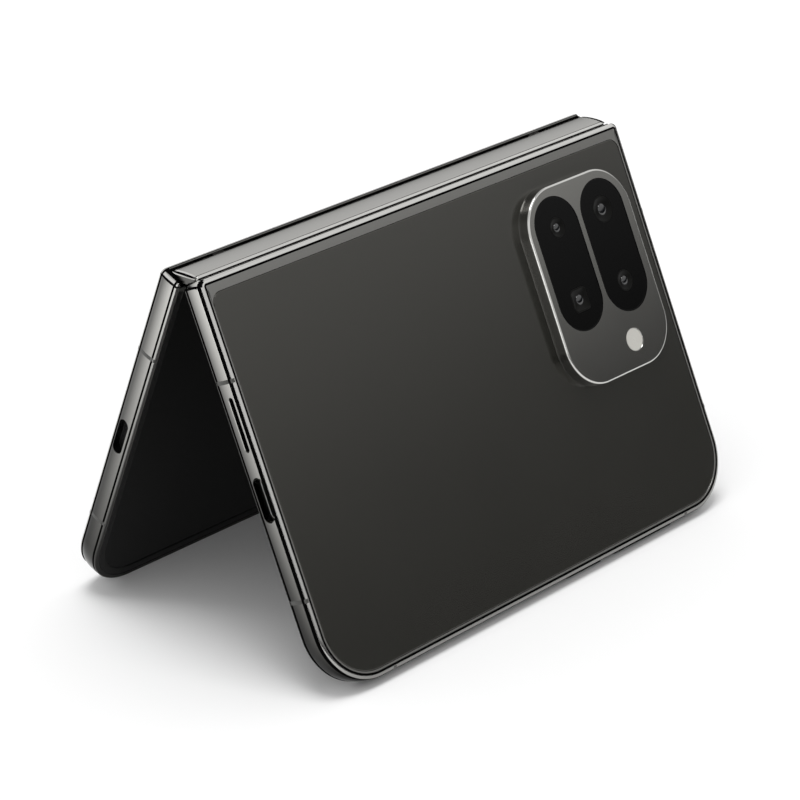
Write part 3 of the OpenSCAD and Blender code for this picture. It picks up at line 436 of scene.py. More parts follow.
def grain_group():
    """Fine grain with a slower cloudiness on top, in object space."""
    tree, given, out = group_tree(
        "phone_grain",
        {"Scale": 9000.0, "Cloud Scale": 60.0, "Middle": 0.35, "Spread": 0.1, "Tint": 0.08},
        ("Height", "Roughness", "Shade"), "NodeSocketFloat")
    where = tree.nodes.new("ShaderNodeTexCoord")

    def noise(scale, detail):
        node = tree.nodes.new("ShaderNodeTexNoise")
        node.inputs["Detail"].default_value = detail
        tree.links.new(where.outputs["Object"], node.inputs["Vector"])
        tree.links.new(given[scale], node.inputs["Scale"])
        return node.outputs["Fac"]

    def around(source, middle, spread):
        off = math_node(tree, "SUBTRACT", source, 0.5)
        return math_node(tree, "MULTIPLY_ADD", off, spread, middle)
    fine, cloud = noise("Scale", 3.0), noise("Cloud Scale", 4.0)
    for label, value in (("Height", fine),
                         ("Roughness", around(cloud, given["Middle"], given["Spread"])),
                         ("Shade", around(fine, 1.0, given["Tint"]))):
        tree.links.new(value, out[label])
    return tree


def painted_light_group():
    """Painted shade and light in object space: darker near the floor and lighter higher up, and
    darker at the display's side and lighter at the back, through the thickness of a half.
    """
    tree, given, out = group_tree(
        "phone_tone", {"Low": 0.0, "Low Tone": 0.4, "High": 0.07, "High Tone": 1.0,
                       "Front Tone": 1.0, "Back Tone": 1.0}, ("Tone",), "NodeSocketColor")
    new, link = tree.nodes.new, tree.links.new
    where, split = new("ShaderNodeTexCoord"), new("ShaderNodeSeparateXYZ")
    level, across = new("ShaderNodeMapRange"), new("ShaderNodeMapRange")
    y, z = split.outputs["Y"], split.outputs["Z"]
    link(where.outputs["Object"], split.inputs["Vector"])
    link(z, level.inputs["Value"])
    for node, ends in ((level, {"Low": "From Min", "High": "From Max", "Low Tone": "To Min",
                                "High Tone": "To Max"}),
                       (across, {"Front Tone": "To Min", "Back Tone": "To Max"})):
        for label, socket in ends.items():
            link(given[label], node.inputs[socket])
    p, middle = sizes(), 2.2
    sin, cos = sind(STANCE), cosd(STANCE)
    out_y = math_node(tree, "MULTIPLY", math_node(tree, "ABSOLUTE", y), cos)
    depth = math_node(tree, "MULTIPLY_ADD", z, sin, out_y)
    zero = (p.fold_w - middle - p.offset * cos - p.axis_z * sin) * MM
    from_middle = math_node(tree, "MULTIPLY", math_node(tree, "ADD", depth, zero),
                            math_node(tree, "SIGN", y))
    link(math_node(tree, "SUBTRACT", middle * MM, from_middle), across.inputs["Value"])
    fill(across, {"From Min": 0.9 * MM, "From Max": 3.5 * MM})
    tone = math_node(tree, "MULTIPLY", level.outputs["Result"], across.outputs["Result"])
    link(grey(tree, tone), out["Tone"])
    return tree


def placed(tree, name, make, values):
    """A shared group placed in a material's tree with values of its own."""
    node = tree.nodes.new("ShaderNodeGroup")
    node.node_tree = bpy.data.node_groups.get(name) or make()
    fill(node, values)
    return node.outputs


# ---------------------------------------------------------------- finishes

# Each finish: a colour, or the name of one of the phone's colours, then roughness, metallic,
# spread of the roughness, tint, scale of the grain and of the cloudiness, relief and its depth
# in millimetres. The painted-light entry holds the heights and factors of painted shade that
# deepens the colour towards the free edges, near the floor, and of painted light that lifts it
# higher up. The second entry holds its factors at the display's side and at the back: painted
# shade at the display's side and a painted highlight at the back.
# Painted shade: near the floor the colour falls to 0.04 of itself, and painted light lifts it to 1.3 times high
# up.
PAINTED_SHADE_AND_LIGHT = {"Low": 4 * MM, "Low Tone": 0.04, "High": 74 * MM, "High Tone": 1.3}
FINISHES = {
    # The frame's metal carries painted shade near the floor and painted light higher up; its side also painted
    # shade at the display's side and a painted highlight at the back.
    "satin_metal": ("metal", 0.15, 1.0, 0.06, 0.10, 7000, 90, 0.10, 0.004, {"tone": PAINTED_SHADE_AND_LIGHT}),
    "side_metal": ("metal", 0.15, 1.0, 0.06, 0.10, 7000, 90, 0.10, 0.004,
                   {"tone": PAINTED_SHADE_AND_LIGHT, "across": (0.38, 1.55)}),
    # A lighter copy of the metal, a painted highlight, with painted shade near the floor.
    "bright_bevel": ("bevel", 0.17, 1.0, 0.05, 0.05, 9000, 120, 0.03, 0.003,
                     {"tone": {"Low": 1 * MM, "Low Tone": 0.35, "High": 16 * MM,
                               "High Tone": 1.0}}),
    # Near-black without specular: painted shade in grooves, and a painted dark reflection where it covers the
    # bevel, the spine and recess walls.
    "shadow_line": ((0.002, 0.002, 0.002), 0.8, 0.0, 0.1, 0.2, 9000, 60, 0, 0,
                    {"specular": 0.0}),
    "flat_band": ("metal", 0.32, 1.0, 0.06, 0.08, 8000, 80, 0.08, 0.004),
    "spine_metal": ("spine", 0.24, 1.0, 0.05, 0.10, 7000, 90, 0.08, 0.004),
    "cap_metal": ((0.13, 0.128, 0.122), 0.3, 1.0, 0.08, 0.12, 7000, 90, 0.1, 0.004),
    "pocket_metal": ((0.10, 0.10, 0.095), 0.45, 1.0, 0.1, 0.15, 5000, 90, 0.1, 0.006),
    "back_glass": ("back", 0.2, 0.0, 0.03, 0.16, 6500, 40, 0.05, 0.003,
                   {"specular": 0.95, "specular_tint": (1.0, 0.985, 0.92)}),
    "island_metal": ("island", 0.13, 1.0, 0.05, 0.16, 5200, 70, 0.16, 0.006),
    "window_glass": ("black", 0.09, 0.0, 0.03, 0.1, 9000, 90, 0, 0, {"specular": 0.12}),
    "lens_ring": ((0.003, 0.003, 0.0026), 0.35, 0.0, 0.08, 0.1, 9000, 200, 0.05, 0.003,
                  {"specular": 0.09}),
    "lens_glass": ((0.003, 0.0033, 0.0042), 0.03, 0.0, 0.02, 0.05, 9000, 200, 0, 0,
                   {"specular": 1.0}),
    "flash_diffuser": ((0.54, 0.53, 0.49), 0.35, 0.0, 0.08, 0.14, 3200, 900, 0.25, 0.02,
                       {"coat": 0.5}),
    "band_plastic": ("trim", 0.38, 0.0, 0.06, 0.1, 8000, 90, 0.05, 0.003),
    "bezel_rubber": ((0.006, 0.006, 0.006), 0.45, 0.0, 0.06, 0.12, 7000, 90, 0.08, 0.004,
                     {"specular": 0.2}),
    "display": ("black", 0.12, 0.0, 0.03, 0.1, 9000, 30, 0, 0, {"specular": 0.12}),
    "cover_glass": ("black", 0.08, 0.0, 0.03, 0.1, 9000, 30, 0, 0,
                    {"coat": 0.4, "coat_rough": 0.04}),
    "port_steel": ((0.30, 0.30, 0.29), 0.3, 1.0, 0.08, 0.1, 7000, 120, 0.1, 0.004),
    "port_plastic": ((0.015, 0.015, 0.016), 0.45, 0.0, 0.06, 0.1, 7000, 120, 0.1, 0.004),
    "contact_gold": ((0.75, 0.55, 0.25), 0.25, 1.0, 0.06, 0.05, 7000, 120, 0.05, 0.003),
    "mesh_black": ((0.012, 0.012, 0.012), 0.5, 0.5, 0.06, 0.1, 7000, 120, 0.1, 0.004),
    # Black discs for the speaker's holes, painted shade.
    "hole_black": ((0.001, 0.001, 0.001), 0.9, 0.0, 0.05, 0.1, 7000, 120, 0, 0,
                   {"specular": 0.0}),
    "steel": ((0.48, 0.48, 0.47), 0.3, 1.0, 0.1, 0.1, 6000, 150, 0.12, 0.005),
    "battery_foil": ((0.03, 0.03, 0.032), 0.42, 0.2, 0.12, 0.15, 1800, 160, 0.3, 0.02),
    "solder_mask": ((0.012, 0.075, 0.04), 0.35, 0.0, 0.1, 0.3, 900, 300, 0.3, 0.02),
    "enamel_wire": ((0.45, 0.19, 0.07), 0.3, 0.8, 0.08, 0.3, 1500, 200, 0.4, 0.03),
    "black_plastic": ((0.014, 0.014, 0.015), 0.45, 0.0, 0.08, 0.15, 5000, 120, 0.15, 0.006),
    "phosphor": ((0.68, 0.55, 0.10), 0.6, 0.0, 0.05, 0.2, 5000, 120, 0.2, 0.006),
}


def mat(name):
    """The material of a finish, with fine grain in its colour, roughness and relief."""
    label = f"phone_{name}"
    if label in bpy.data.materials:
        return bpy.data.materials[label]
    rgb, rough, metallic, spread, tint, scale, cloud, bump, depth, *more = FINISHES[name]
    more = more[0] if more else {}
    if isinstance(rgb, str):
        rgb = tuple(getattr(bpy.context.scene.phone_colours, rgb))
    material = bpy.data.materials.new(label)
    material.use_nodes = True
    tree = material.node_tree
    link, shader = tree.links.new, tree.nodes["Principled BSDF"]
    fill(shader, {"Metallic": metallic, "Coat Weight": more.get("coat", 0.0),
                  "Coat Roughness": more.get("coat_rough", 0.1),
                  "Specular IOR Level": more.get("specular", 0.5), "IOR": 1.5,
                  "Specular Tint": (*more.get("specular_tint", (1.0, 1.0, 1.0)), 1.0)})
    grain = placed(tree, "phone_grain", grain_group, {
        "Scale": scale, "Cloud Scale": cloud, "Middle": rough, "Spread": spread, "Tint": tint})
    link(grain["Roughness"], shader.inputs["Roughness"])
    shade = multiply(tree, rgb, grey(tree, grain["Shade"]))
    # Painted shade near the floor and painted light higher up, and through a half's thickness.
    if "tone" in more:
        front, back = more.get("across", (1.0, 1.0))
        painted_light_node = placed(tree, "phone_tone", painted_light_group, {
            **more["tone"], "Front Tone": front, "Back Tone": back})
        shade = multiply(tree, shade, painted_light_node["Tone"])
    link(shade, shader.inputs["Base Color"])
    if bump:
        relief = tree.nodes.new("ShaderNodeBump")
        fill(relief, {"Strength": bump, "Distance": depth * MM})
        link(grain["Height"], relief.inputs["Height"])
        link(relief.outputs["Normal"], shader.inputs["Normal"])
    return material


# ---------------------------------------------------------------- geometry nodes

def repeat_tree():
    """A geometry tree that puts copies of one object's mesh on the points of the carrier mesh,
    and the identifiers of its inputs."""
    name = "phone_repeat_on_points"
    tree = bpy.data.node_groups.get(name)
    if not tree:
        tree = bpy.data.node_groups.new(name, "GeometryNodeTree")
        for label, kind in (("Geometry", "Geometry"), ("Shape", "Object"), ("Size", "Float"),
                            ("Material", "Material")):
            tree.interface.new_socket(label, in_out="INPUT", socket_type=f"NodeSocket{kind}")
        tree.interface.new_socket("Geometry", in_out="OUTPUT",
                                  socket_type="NodeSocketGeometry")
        new = tree.nodes.new
        given, points = new("NodeGroupInput").outputs, new("GeometryNodeMeshToPoints")
        shape, copy = new("GeometryNodeObjectInfo"), new("GeometryNodeInstanceOnPoints")
        real, paint = new("GeometryNodeRealizeInstances"), new("GeometryNodeSetMaterial")
        out = new("NodeGroupOutput")
        for source, target in (
                (given["Geometry"], points.inputs["Mesh"]),
                (given["Shape"], shape.inputs["Object"]),
                (points.outputs["Points"], copy.inputs["Points"]),
                (shape.outputs["Geometry"], copy.inputs["Instance"]),
                (given["Size"], copy.inputs["Scale"]),
                (copy.outputs["Instances"], real.inputs["Geometry"]),
                (real.outputs["Geometry"], paint.inputs["Geometry"]),
                (given["Material"], paint.inputs["Material"]),
                (paint.outputs["Geometry"], out.inputs[0])):
            tree.links.new(source, target)
    return tree, {i.name: i.identifier for i in tree.interface.items_tree
                  if i.in_out == "INPUT"}


def one_shape(side, build):
    """A shape drawn round (0, 0, 0) of a half or the spine, and turned as that one stands."""
    place = stand(side)
    zero = place(0, 0, 0)
    form = Form(lambda x, s, w: place(x, s, w) - zero)
    build(form)
    return form.piece("shape", ["steel"], weighted=False)


def repeat(name, shape, points, finish, place):
    """One mesh of copies of a shape at the points. The shape itself goes."""
    obj = new_object(name, [place(*q) for q in points])
    tree, ids = repeat_tree()
    mod = obj.modifiers.new("repeat", "NODES")
    mod.node_group = tree
    mod[ids["Shape"]], mod[ids["Size"]], mod[ids["Material"]] = shape, 1.0, mat(finish)
    bake(obj)
    bpy.data.objects.remove(shape)
    return smooth(obj, 32, False)


# ---------------------------------------------------------------- frames

# Materials of a frame's faces, in the order of FRAME_FINISHES. The near-black line finish is painted shade in the
# grooves and a painted dark reflection on the bevel; the lighter bevel finish is a painted highlight.
SATIN, LINE, HIGHLIGHT, FLAT, POCKET = range(5)
FRAME_FINISHES = ("side_metal", "shadow_line", "bright_bevel", "flat_band", "pocket_metal")
FRONT_LINE = (0.36, 0.84)
SIDE_LINE = {"rear": 0.72, "cover": 0.3}
# Rows of the bevel painted near-black, a painted dark reflection, and columns round the hinge corners painted
# near-black as painted shade and lighter as a painted highlight.
BEVEL_PAINTED_DARK = {"rear": 7, "cover": 3}
CORNER_MARKS = {"rear": [SATIN] * 7 + [LINE] * 2 + [SATIN],
                "cover": [LINE] * 4 + [HIGHLIGHT] * 3 + [LINE] * 2 + [SATIN]}
# The side bulges out most at SIDE_MIDDLE. FRONT_LEAN and BEVEL_START are shares of side_crown.
SIDE_MIDDLE, FRONT_LEAN, BEVEL_START, LEAN_POWER = 2.3, 0.45, 0.6, 2.2
INNER_WALL = 1.4
CONNECTOR_S, TRAY_S = 43.9, 46.0
# Slots in the short sides: side of the phone, place along the half and in its thickness, length,
# height and depth.
PORTS = {
    "rear": [(-1, 28.9, 2.87, 10.9, 1.1, 3.1), (-1, CONNECTOR_S, PORT_W, 9.0, 3.0, 9.0)],
    "cover": [(-1, 42.1, PORT_W, 8.4, 2.6, 3.1), (1, TRAY_S, PORT_W, 15.7, 1.7, 4.0)],
}
PORT_FLARE = 0.1
KEYS = {"power": (13.0, 11.0), "volume": (32.0, 19.0)}
KEY_TALL, KEY_GAP, KEY_PROUD = 2.0, 0.12, 0.35
# Places along the hinge of the rail blocks and of the windows for the sync and swing arms.
RAIL_BLOCK, SYNC_WINDOW, SWING_WINDOW = (47.55, 44.65), (51.4, 49.2), (47.75, 44.45)


def side_lean(p, w, line):
    """How far the side leans in at a height, more towards its two edges."""
    t = max(0.0, (w - SIDE_MIDDLE) / (line - SIDE_MIDDLE))
    u = max(0.0, (SIDE_MIDDLE - w) / (SIDE_MIDDLE - FRONT_LINE[1]))
    return p.side_crown * (t ** LEAN_POWER + FRONT_LEAN * u ** LEAN_POWER)


def side_steps(p, line):
    """The side from the display's rim to the bevel, with the material of each step."""
    edge, low, high = p.front_edge, *FRONT_LINE
    steps = [(INNER_WALL, PLATE_LOW), (p.rim, PLATE_LOW), (p.rim, 0.05), (p.rim - 0.05, 0.0),
             (p.front_round + edge + 0.1, 0.0)]
    steps += arc(p.front_round + edge, p.front_round, p.front_round, 270, 190, 7)
    steps[-1] = (steps[-1][0], low - 0.02)
    # The groove beside the front rounding, and later the side's top edge, are painted near-black, painted shade.
    marks = [SATIN] * (len(steps) - 1) + [LINE] * 3
    steps += [(edge + 0.14, low), (edge + 0.14, high), (edge + 0.05, high + 0.02)]
    steps += [(side_lean(p, w, line), w) for w in (
        0.92, 1.0, 1.12, 1.3, 1.55, 1.9, 2.3, 2.7, 2.9, 3.1, 3.3, 3.45, 3.6, line - 0.06)]
    marks += [SATIN] * (len(steps) - len(marks)) + [LINE] * 2
    return steps + [(side_lean(p, line, line) + 0.05, line), (INNER_WALL, line)], marks


def corner_columns(side):
    """Materials of the columns that lead round the two corners beside the hinge: painted
    near-black for painted shade and lighter for a painted highlight.
    """
    corners = HINGE_STEPS + 1 + len(SIDE_STOPS) + FREE_STEPS + 1
    last = 2 * corners + len(BOTTOM_STOPS) - 2
    marks = dict(enumerate(CORNER_MARKS[side]))
    return {**marks, **{last - k: mark for k, mark in marks.items()}}


def bevel(p):
    """The bevel as (distance in, height)."""
    start = p.side_crown * BEVEL_START
    return [(start + (p.bevel_w - start) * (1 - cosd(a)), p.line_w1 + p.bevel_h * sind(a))
            for a in range(0, 91, 9)]


def port_steps(p, sign, depth):
    """Steps inwards of a slot in a short side, with a small flare at its mouth."""
    return [(g, sign * p.half_len + sign * a) for a, g in (
        (0.6, 2 * PORT_FLARE), (0.0, PORT_FLARE), (-PORT_FLARE, 0.0), (-depth, 0.0))]


class PHONE_OT_frames(bpy.types.Operator):
    """Build the metal frame of each half, with its bevel, shadow lines, band and ports"""
    bl_idname = "phone.frames"
    bl_label = "Frames"
    bl_options = {"REGISTER", "UNDO"}

    def execute(self, context):
        p = sizes()
        for side in SIGN:
            form, line = Form(stand(side)), p.line_start[side]
            steps, marks = side_steps(p, line)
            rows = plan_rows(p, steps, 0, p.setback, p.hinge_r)
            form.grid([row[:-TOP_COUNT] for row in rows], along=False, caps=True, marks=marks,
                      columns=corner_columns(side))
            self.top(p, form, side, line)
            self.inside(p, form, line)
            obj = form.piece(f"{side}_frame_shell", FRAME_FINISHES, weighted=False)
            self.openings(p, obj, side)
            smooth(obj, 32)
            settle(obj, BODY[side], "metal", f"{side}_frame")
        return {"FINISHED"}

    def top(self, p, form, side, line):
        """The bevel between its dark lines, and the flat band round the glass. The lines and the
        bevel's first rows are painted near-black, painted shade and a painted dark reflection, and the
        rest of the bevel lighter, a painted highlight.
        """
        groove, floor = 0.12 + p.line_d, p.thick - p.line_d
        steps = [(INNER_WALL, line - 0.02), (groove, line - 0.02), (groove, p.line_w1)]
        steps += bevel(p)
        steps += [(p.bevel_w + 0.02, floor), (p.bevel_end - 0.02, floor), (p.bevel_end, p.thick)]
        rows = plan_rows(p, steps, 0, p.setback, p.hinge_r)
        rows += plan_rows(p, ((-0.04, p.thick), (0.0, p.thick - 0.04), (0.0, p.seat)),
                          p.glass_inset, p.glass_s, p.glass_r)
        dark, bevel_last = BEVEL_PAINTED_DARK[side], len(steps) - 4
        form.grid(rows, marks=[LINE] * dark + [HIGHLIGHT] * (bevel_last - dark) + [LINE] * 3
                  + [FLAT] * 2 + [LINE] * 2)
        n = len(rows[0])
        first, hinge = len(form.marks) - n * len(rows), n - TOP_COUNT - 1
        # At the hinge, the bevel's first rows are painted lighter instead, a painted highlight.
        for i in range(3, dark):
            for j in range(hinge, n):
                form.marks[first + i * n + j] = HIGHLIGHT
        # At the rear's hinge corners most of the bevel is painted near-black, painted shade over its highlight.
        for i in range(bevel_last - 3 if side == "rear" else 0):
            for j in range(2, HINGE_STEPS - 1):
                for k in (j, hinge - 1 - j):
                    form.marks[first + i * n + k] = LINE

    def inside(self, p, form, line):
        """The lip over the hinge pocket, the rib behind it, the plate and the rail blocks."""
        x1, low, lip_in = p.half_len - p.hinge_r, p.thick - p.lip, p.setback + 1.2
        lip = [(p.setback, low + 0.08), (p.setback + 0.08, low), (p.rib_end, low),
               (p.rib_end, p.seat), (lip_in, p.seat), (lip_in, line), (p.setback + 0.03, line),
               (p.setback, line - 0.03)]
        # The lip's edge towards the spine is painted near-black, painted shade.
        form.grid([[(x, s, w) for x in (-x1, x1)] for s, w in lip], along=False, caps=True,
                  marks=[LINE] + [SATIN] * 7)
        wall = [(1.35, p.pocket, PLATE_LOW), (1.35, p.pocket, p.seat),
                (p.wall, p.rib_end, p.seat), (p.wall, p.rib_end, PLATE_LOW)]
        form.grid([[(x, s, w) for x, s in outline(p, d, t, 0.05)] for d, t, w in wall],
                  marks=POCKET)
        form.grid(plan_rows(p, ((0, PLATE_LOW), (0, PLATE_TOP)), p.wall - 0.05,
                            p.rib_end - 0.05, 0.05), around=False, caps=True, marks=POCKET)
        for sign in (-1, 1):
            form.box(*span(sign, *RAIL_BLOCK), 3.95, 8.65, PLATE_TOP - 0.05, p.fold_w, POCKET)

    def openings(self, p, obj, side):
        """The slots and key holes in the sides and the windows for the hinge's arms."""
        place = stand(side)
        for sign, s, w, run, tall, depth in PORTS[side]:
            bore(obj, place, port_steps(p, sign, depth), (s, w), (run, tall), n=10, axis="x")
        for x, run in KEYS.values() if side == "rear" else ():
            bore(obj, place, ((KEY_GAP, p.leg + 1), (KEY_GAP, p.leg - p.wall - 0.8)),
                 (x, PORT_W), (run, KEY_TALL), n=10, axis="s")
        for sign in (-1, 1):
            for window, top in ((SYNC_WINDOW, 3.13), (SWING_WINDOW, 4.0)):
                tool = Form(place)
                tool.box(*span(sign, *window), p.pocket - 0.3, p.rib_end + 0.2,
                         PLATE_TOP + 0.05, top, POCKET)
                cut(obj, tool)


class PHONE_OT_bands(bpy.types.Operator):
    """Build the antenna bands that cross the sides and the bevel"""
    bl_idname = "phone.bands"
    bl_label = "Antenna bands"
    bl_options = {"REGISTER", "UNDO"}

    def execute(self, context):
        p, proud, deep = sizes(), 0.012, 0.9
        for side in SIGN:
            line = p.line_start[side]
            profile = [(deep, 0.05)] + arc(p.front_edge + p.front_round, p.front_round,
                                           p.front_round + proud, 265, 195, 6)
            profile += [(p.front_edge + 0.1, w) for w in FRONT_LINE]
            profile += [(side_lean(p, w, line) - proud, w) for w in (
                0.92, 1.05, 1.3, 1.7, 2.2, 2.8, 3.1, 3.35, 3.55, line - 0.05)]
            profile += [(side_lean(p, line, line) + 0.1, line), (0.24, p.line_w1)]
            profile += [(d - proud * 0.7, w + proud * 0.7) for d, w in bevel(p)[1:-1]]
            profile += [(deep, p.thick - 0.06)]
            form = Form(stand(side))
            for sign in (-1, 1):
                bands = [[[(sign * (p.half_len - d), s + e, w) for e in BAND_ENDS]
                          for d, w in profile] for s in BANDS_SIDE]
                bands += [[[(sign * BAND_BOTTOM + e, p.leg - d, w) for e in BAND_ENDS]
                           for d, w in profile]]
                for rows in bands:
                    form.grid(rows, along=False, caps=True)
            settle(form.piece(f"{side}_band_inlays", ["band_plastic"]), BODY[side], "dark_trim",
                   f"{side}_antenna_bands")
        return {"FINISHED"}


# ---------------------------------------------------------------- glass and cameras

FRONT_EYE = (45.0, 24.0)
GLASS_GAP = 0.06


class PHONE_OT_glass(bpy.types.Operator):
    """Build the matt back glass and the cover glass with their eased edges"""
    bl_idname = "phone.glass"
    bl_label = "Back and cover glass"
    bl_options = {"REGISTER", "UNDO"}

    def execute(self, context):
        p, open_by = sizes(), 1.8
        ease = ((0.0, p.seat), (0.0, p.thick - 0.2), (0.03, p.thick - 0.12),
                (0.1, p.thick - 0.07), (0.2, p.thick - 0.05))
        for side, name, node, slot in (
                ("rear", "matt_back_glass", "back_glass", "back_glass"),
                ("cover", "cover_front_glass", "cover_glass", "black_gloss")):
            form = Form(stand(side))
            form.grid(plan_rows(p, ease, p.glass_inset + GLASS_GAP, p.glass_s + GLASS_GAP,
                                p.glass_r), around=False, caps=True)
            obj = form.piece(name, [node], weighted=False)
            if side == "rear":
                bore(obj, stand(side), ((-open_by, p.seat - 1), (-open_by, p.thick + 1)),
                     (p.island_x, p.island_y), (p.island_w, p.island_len),
                     p.island_r - open_by)
            else:
                self.front_eye(p, obj)
            smooth(obj, 40)
            settle(obj, BODY[side], slot, node)
        return {"FINISHED"}

    def front_eye(self, p, glass):
        """The opening in the cover glass and the small camera that looks out of it."""
        place, top, r = stand("cover"), p.thick, 1.9
        bore(glass, place, ((r, p.seat - 1), (r, top - 0.09), (r + 0.06, top + 0.1)), FRONT_EYE)
        form = Form(place)
        form.stack(((r - 0.03, p.seat + 0.02), (r - 0.03, top - 0.12), (r - 0.12, top - 0.07),
                    (1.25, top - 0.08), (1.1, top - 0.16), (0.9, top - 0.2)), FRONT_EYE)
        form.stack(dome(0.86, top - 0.21, 0.14), FRONT_EYE, marks=1)
        settle(form.piece("front_camera_eye", ["lens_ring", "lens_glass"], 40), BODY["cover"],
               "black_plastic")


# Each camera: its window, its end of the window, the radius of its opening, the height of its
# body, and the opening's corner as a share of the radius, which is less on the square one.
LENSES = {
    "portrait_camera": (0, -1, 2.2, 5.2, 1.0),
    "main_camera": (1, -1, 2.9, 6.0, 1.0),
    "wide_camera": (1, 1, 2.3, 5.4, 1.0),
    "tele_camera": (0, 1, 2.5, 5.8, 0.45),
}
LENS_STEPS = 16


def lens_place(p, column, end):
    return p.pill_x[column], p.pill_y + end * p.pill_end


class PHONE_OT_island(bpy.types.Operator):
    """Build the camera island with its recesses for the windows and the flash"""
    bl_idname = "phone.island"
    bl_label = "Camera island"
    bl_options = {"REGISTER", "UNDO"}

    def execute(self, context):
        p, place = sizes(), stand("rear")
        top, base, r, side_in = p.island_top, p.thick - 0.05, p.island_round, 0.1
        steps = [(0.0, base), (0.03, base + 0.1)]
        steps += [(0.03 + side_in * i / 4, base + 0.1 + (top - r - base - 0.1) * i / 4)
                  for i in range(1, 5)]
        steps += [(0.13 + r * (1 - cosd(a)), top - r + r * sind(a)) for a in range(10, 91, 10)]
        form = Form(place)
        # The island's rounded top edge gets the lighter bevel finish, a painted highlight.
        form.stack([(-d, w) for d, w in steps], (p.island_x, p.island_y),
                   (p.island_w, p.island_len), lambda g: p.island_r + g, 20,
                   marks=[0] * 5 + [1] * 9 + [2])
        obj = form.piece("island_shell", ["satin_metal", "bright_bevel", "island_metal",
                                          "shadow_line"], weighted=False)
        # The recess walls for the windows and the flash are painted near-black, painted shade, and the flash
        # recess's flared rim lighter, a painted highlight.
        for x in p.pill_x:
            bore(obj, place, ((0.05, top - 0.55), (0.05, top - 0.08), (0.2, top + 0.1)),
                 (x, p.pill_y), (p.pill_w, p.pill_len), n=16, marks=3)
        bore(obj, place, ((0.0, top - 0.95), (0.0, top - 0.06), (0.12, top + 0.1)), p.flash,
             (FLASH_W, FLASH_W), marks=[3, 1, 3])
        smooth(obj, 35)
        settle(obj, BODY["rear"], "metal", "camera_island")
        return {"FINISHED"}


class PHONE_OT_windows(bpy.types.Operator):
    """Build the two dark lens windows, the lenses under them, the sensor and the flash"""
    bl_idname = "phone.windows"
    bl_label = "Lens windows and cameras"
    bl_options = {"REGISTER", "UNDO"}

    def execute(self, context):
        p, place = sizes(), stand("rear")
        top, form = p.island_top, Form(place)
        for x in p.pill_x:
            form.stack(((0.0, top - 0.5), (0.0, top - 0.14), (-0.02, top - 0.09),
                        (-0.07, top - 0.06), (-0.14, top - 0.05)), (x, p.pill_y),
                       (p.pill_w, p.pill_len), n=20)
        glass = form.piece("lens_window_pair", ["window_glass", "lens_ring"], weighted=False)
        for column, end, r, _, share in LENSES.values():
            bore(glass, place, ((r, top - 0.6), (r, top - 0.1), (r + 0.12, top + 0.1)),
                 lens_place(p, column, end), corner=lambda q: q * share, n=LENS_STEPS, marks=1)
        smooth(glass, 35)
        settle(glass, BODY["rear"], "black_gloss", "lens_windows")
        for node, (column, end, r, body, share) in LENSES.items():
            form = Form(place)
            self.lens(form, lens_place(p, column, end), r - 0.03, body, top, share)
            obj = form.piece(f"{node}_stack", ["lens_ring", "lens_glass", "black_plastic"], 40)
            settle(obj, BODY["rear"], "black_plastic", node)
        form = Form(place)
        form.stack(((1.1, top - 2.1), (1.1, top - 0.9), (0.6, top - 0.88), (0.55, top - 0.55)),
                   (p.pill_x[1], p.pill_y), n=10)
        settle(form.piece("sensor_eye", ["lens_glass"]), BODY["rear"], "black_plastic",
               "depth_sensor")
        form = Form(place)
        rim, rings, groove = 2.25, 13, 0.05
        steps = [(2.4, top - 0.9), (2.4, top - 0.12), (2.36, top - 0.06), (rim, top - 0.03)]
        steps += [(rim - 0.15 * i, top - 0.03 - (groove if i % 2 else 0.0))
                  for i in range(1, rings + 1)]
        form.stack(steps, p.flash)
        settle(form.piece("flash_dome", ["flash_diffuser"], 60), BODY["rear"], "diffuser",
               "flash_lens")
        return {"FINISHED"}

    def lens(self, form, centre, r, body, top, share):
        """A camera: square body, stepped barrel and domed front glass."""
        form.stack(((0.0, PLATE_TOP), (0.0, body - 0.15), (-0.15, body)), centre, (9.8, 9.8),
                   2.0, 6, marks=2)
        barrel = [(r, body - 0.1), (r, top - 0.1), (r - 0.12, top - 0.06), (r - 0.3, top - 0.06),
                  (r - 0.42, top - 0.14), (r * 0.62, top - 0.2), (r * 0.58, top - 0.24),
                  (r * 0.42, top - 0.25)]
        front = [barrel[-1]] + dome(r * 0.4, top - 0.27, 0.2)
        form.stack(barrel, centre, corner=lambda q: q * (share if q > r * 0.8 else 1.0),
                   n=LENS_STEPS, caps=False)
        form.stack(front, centre, n=LENS_STEPS, caps=False, marks=1)
        ring = 4 * (LENS_STEPS + 1)
        form.cap(len(form.points) - ring, ring, 1)
        form.cap(len(form.points) - ring * (len(barrel) + len(front)), ring, 0)


# ---------------------------------------------------------------- spine

SPINE_FINISHES = ("spine_metal", "shadow_line", "bright_bevel", "cap_metal")
ROOF_HALF = 3.05


def spine_profile(p):
    """Section of the spine cover as (y, z, material), from its left skirt over the crown. The
    small step beside the crown and the side below the slope are painted near-black, painted shade,
    and the slope lighter, a painted highlight.
    """
    side, crown, top = p.spine_w, p.spine_w - 0.62, -0.1
    half = [(crown * i / 8, top - 0.13 * (i / 8) ** 2, 0) for i in range(8)]
    half += [(crown, top - 0.14, 1), (crown + 0.02, -0.36, 1), (crown + 0.13, -0.36, 1),
             (crown + 0.14, -0.27, 2)]
    r = side - crown - 0.14
    half += [(crown + 0.14 + r * sind(a), -0.27 - 0.5 * (1 - cosd(a)), 2)
             for a in range(15, 91, 15)]
    half += [(side, -0.79, 1), (side, -1.25, 0), (side - 0.05, -1.3, 0), (side - 0.15, -1.3, 0),
             (side - 0.2, -1.25, 0), (side - 0.2, -0.84, 0), (crown - 0.05, -0.57, 0)]
    left = [(-y, z, half[max(i - 1, 0)][2]) for i, (y, z, _) in enumerate(half)][::-1]
    return left + half[1:]


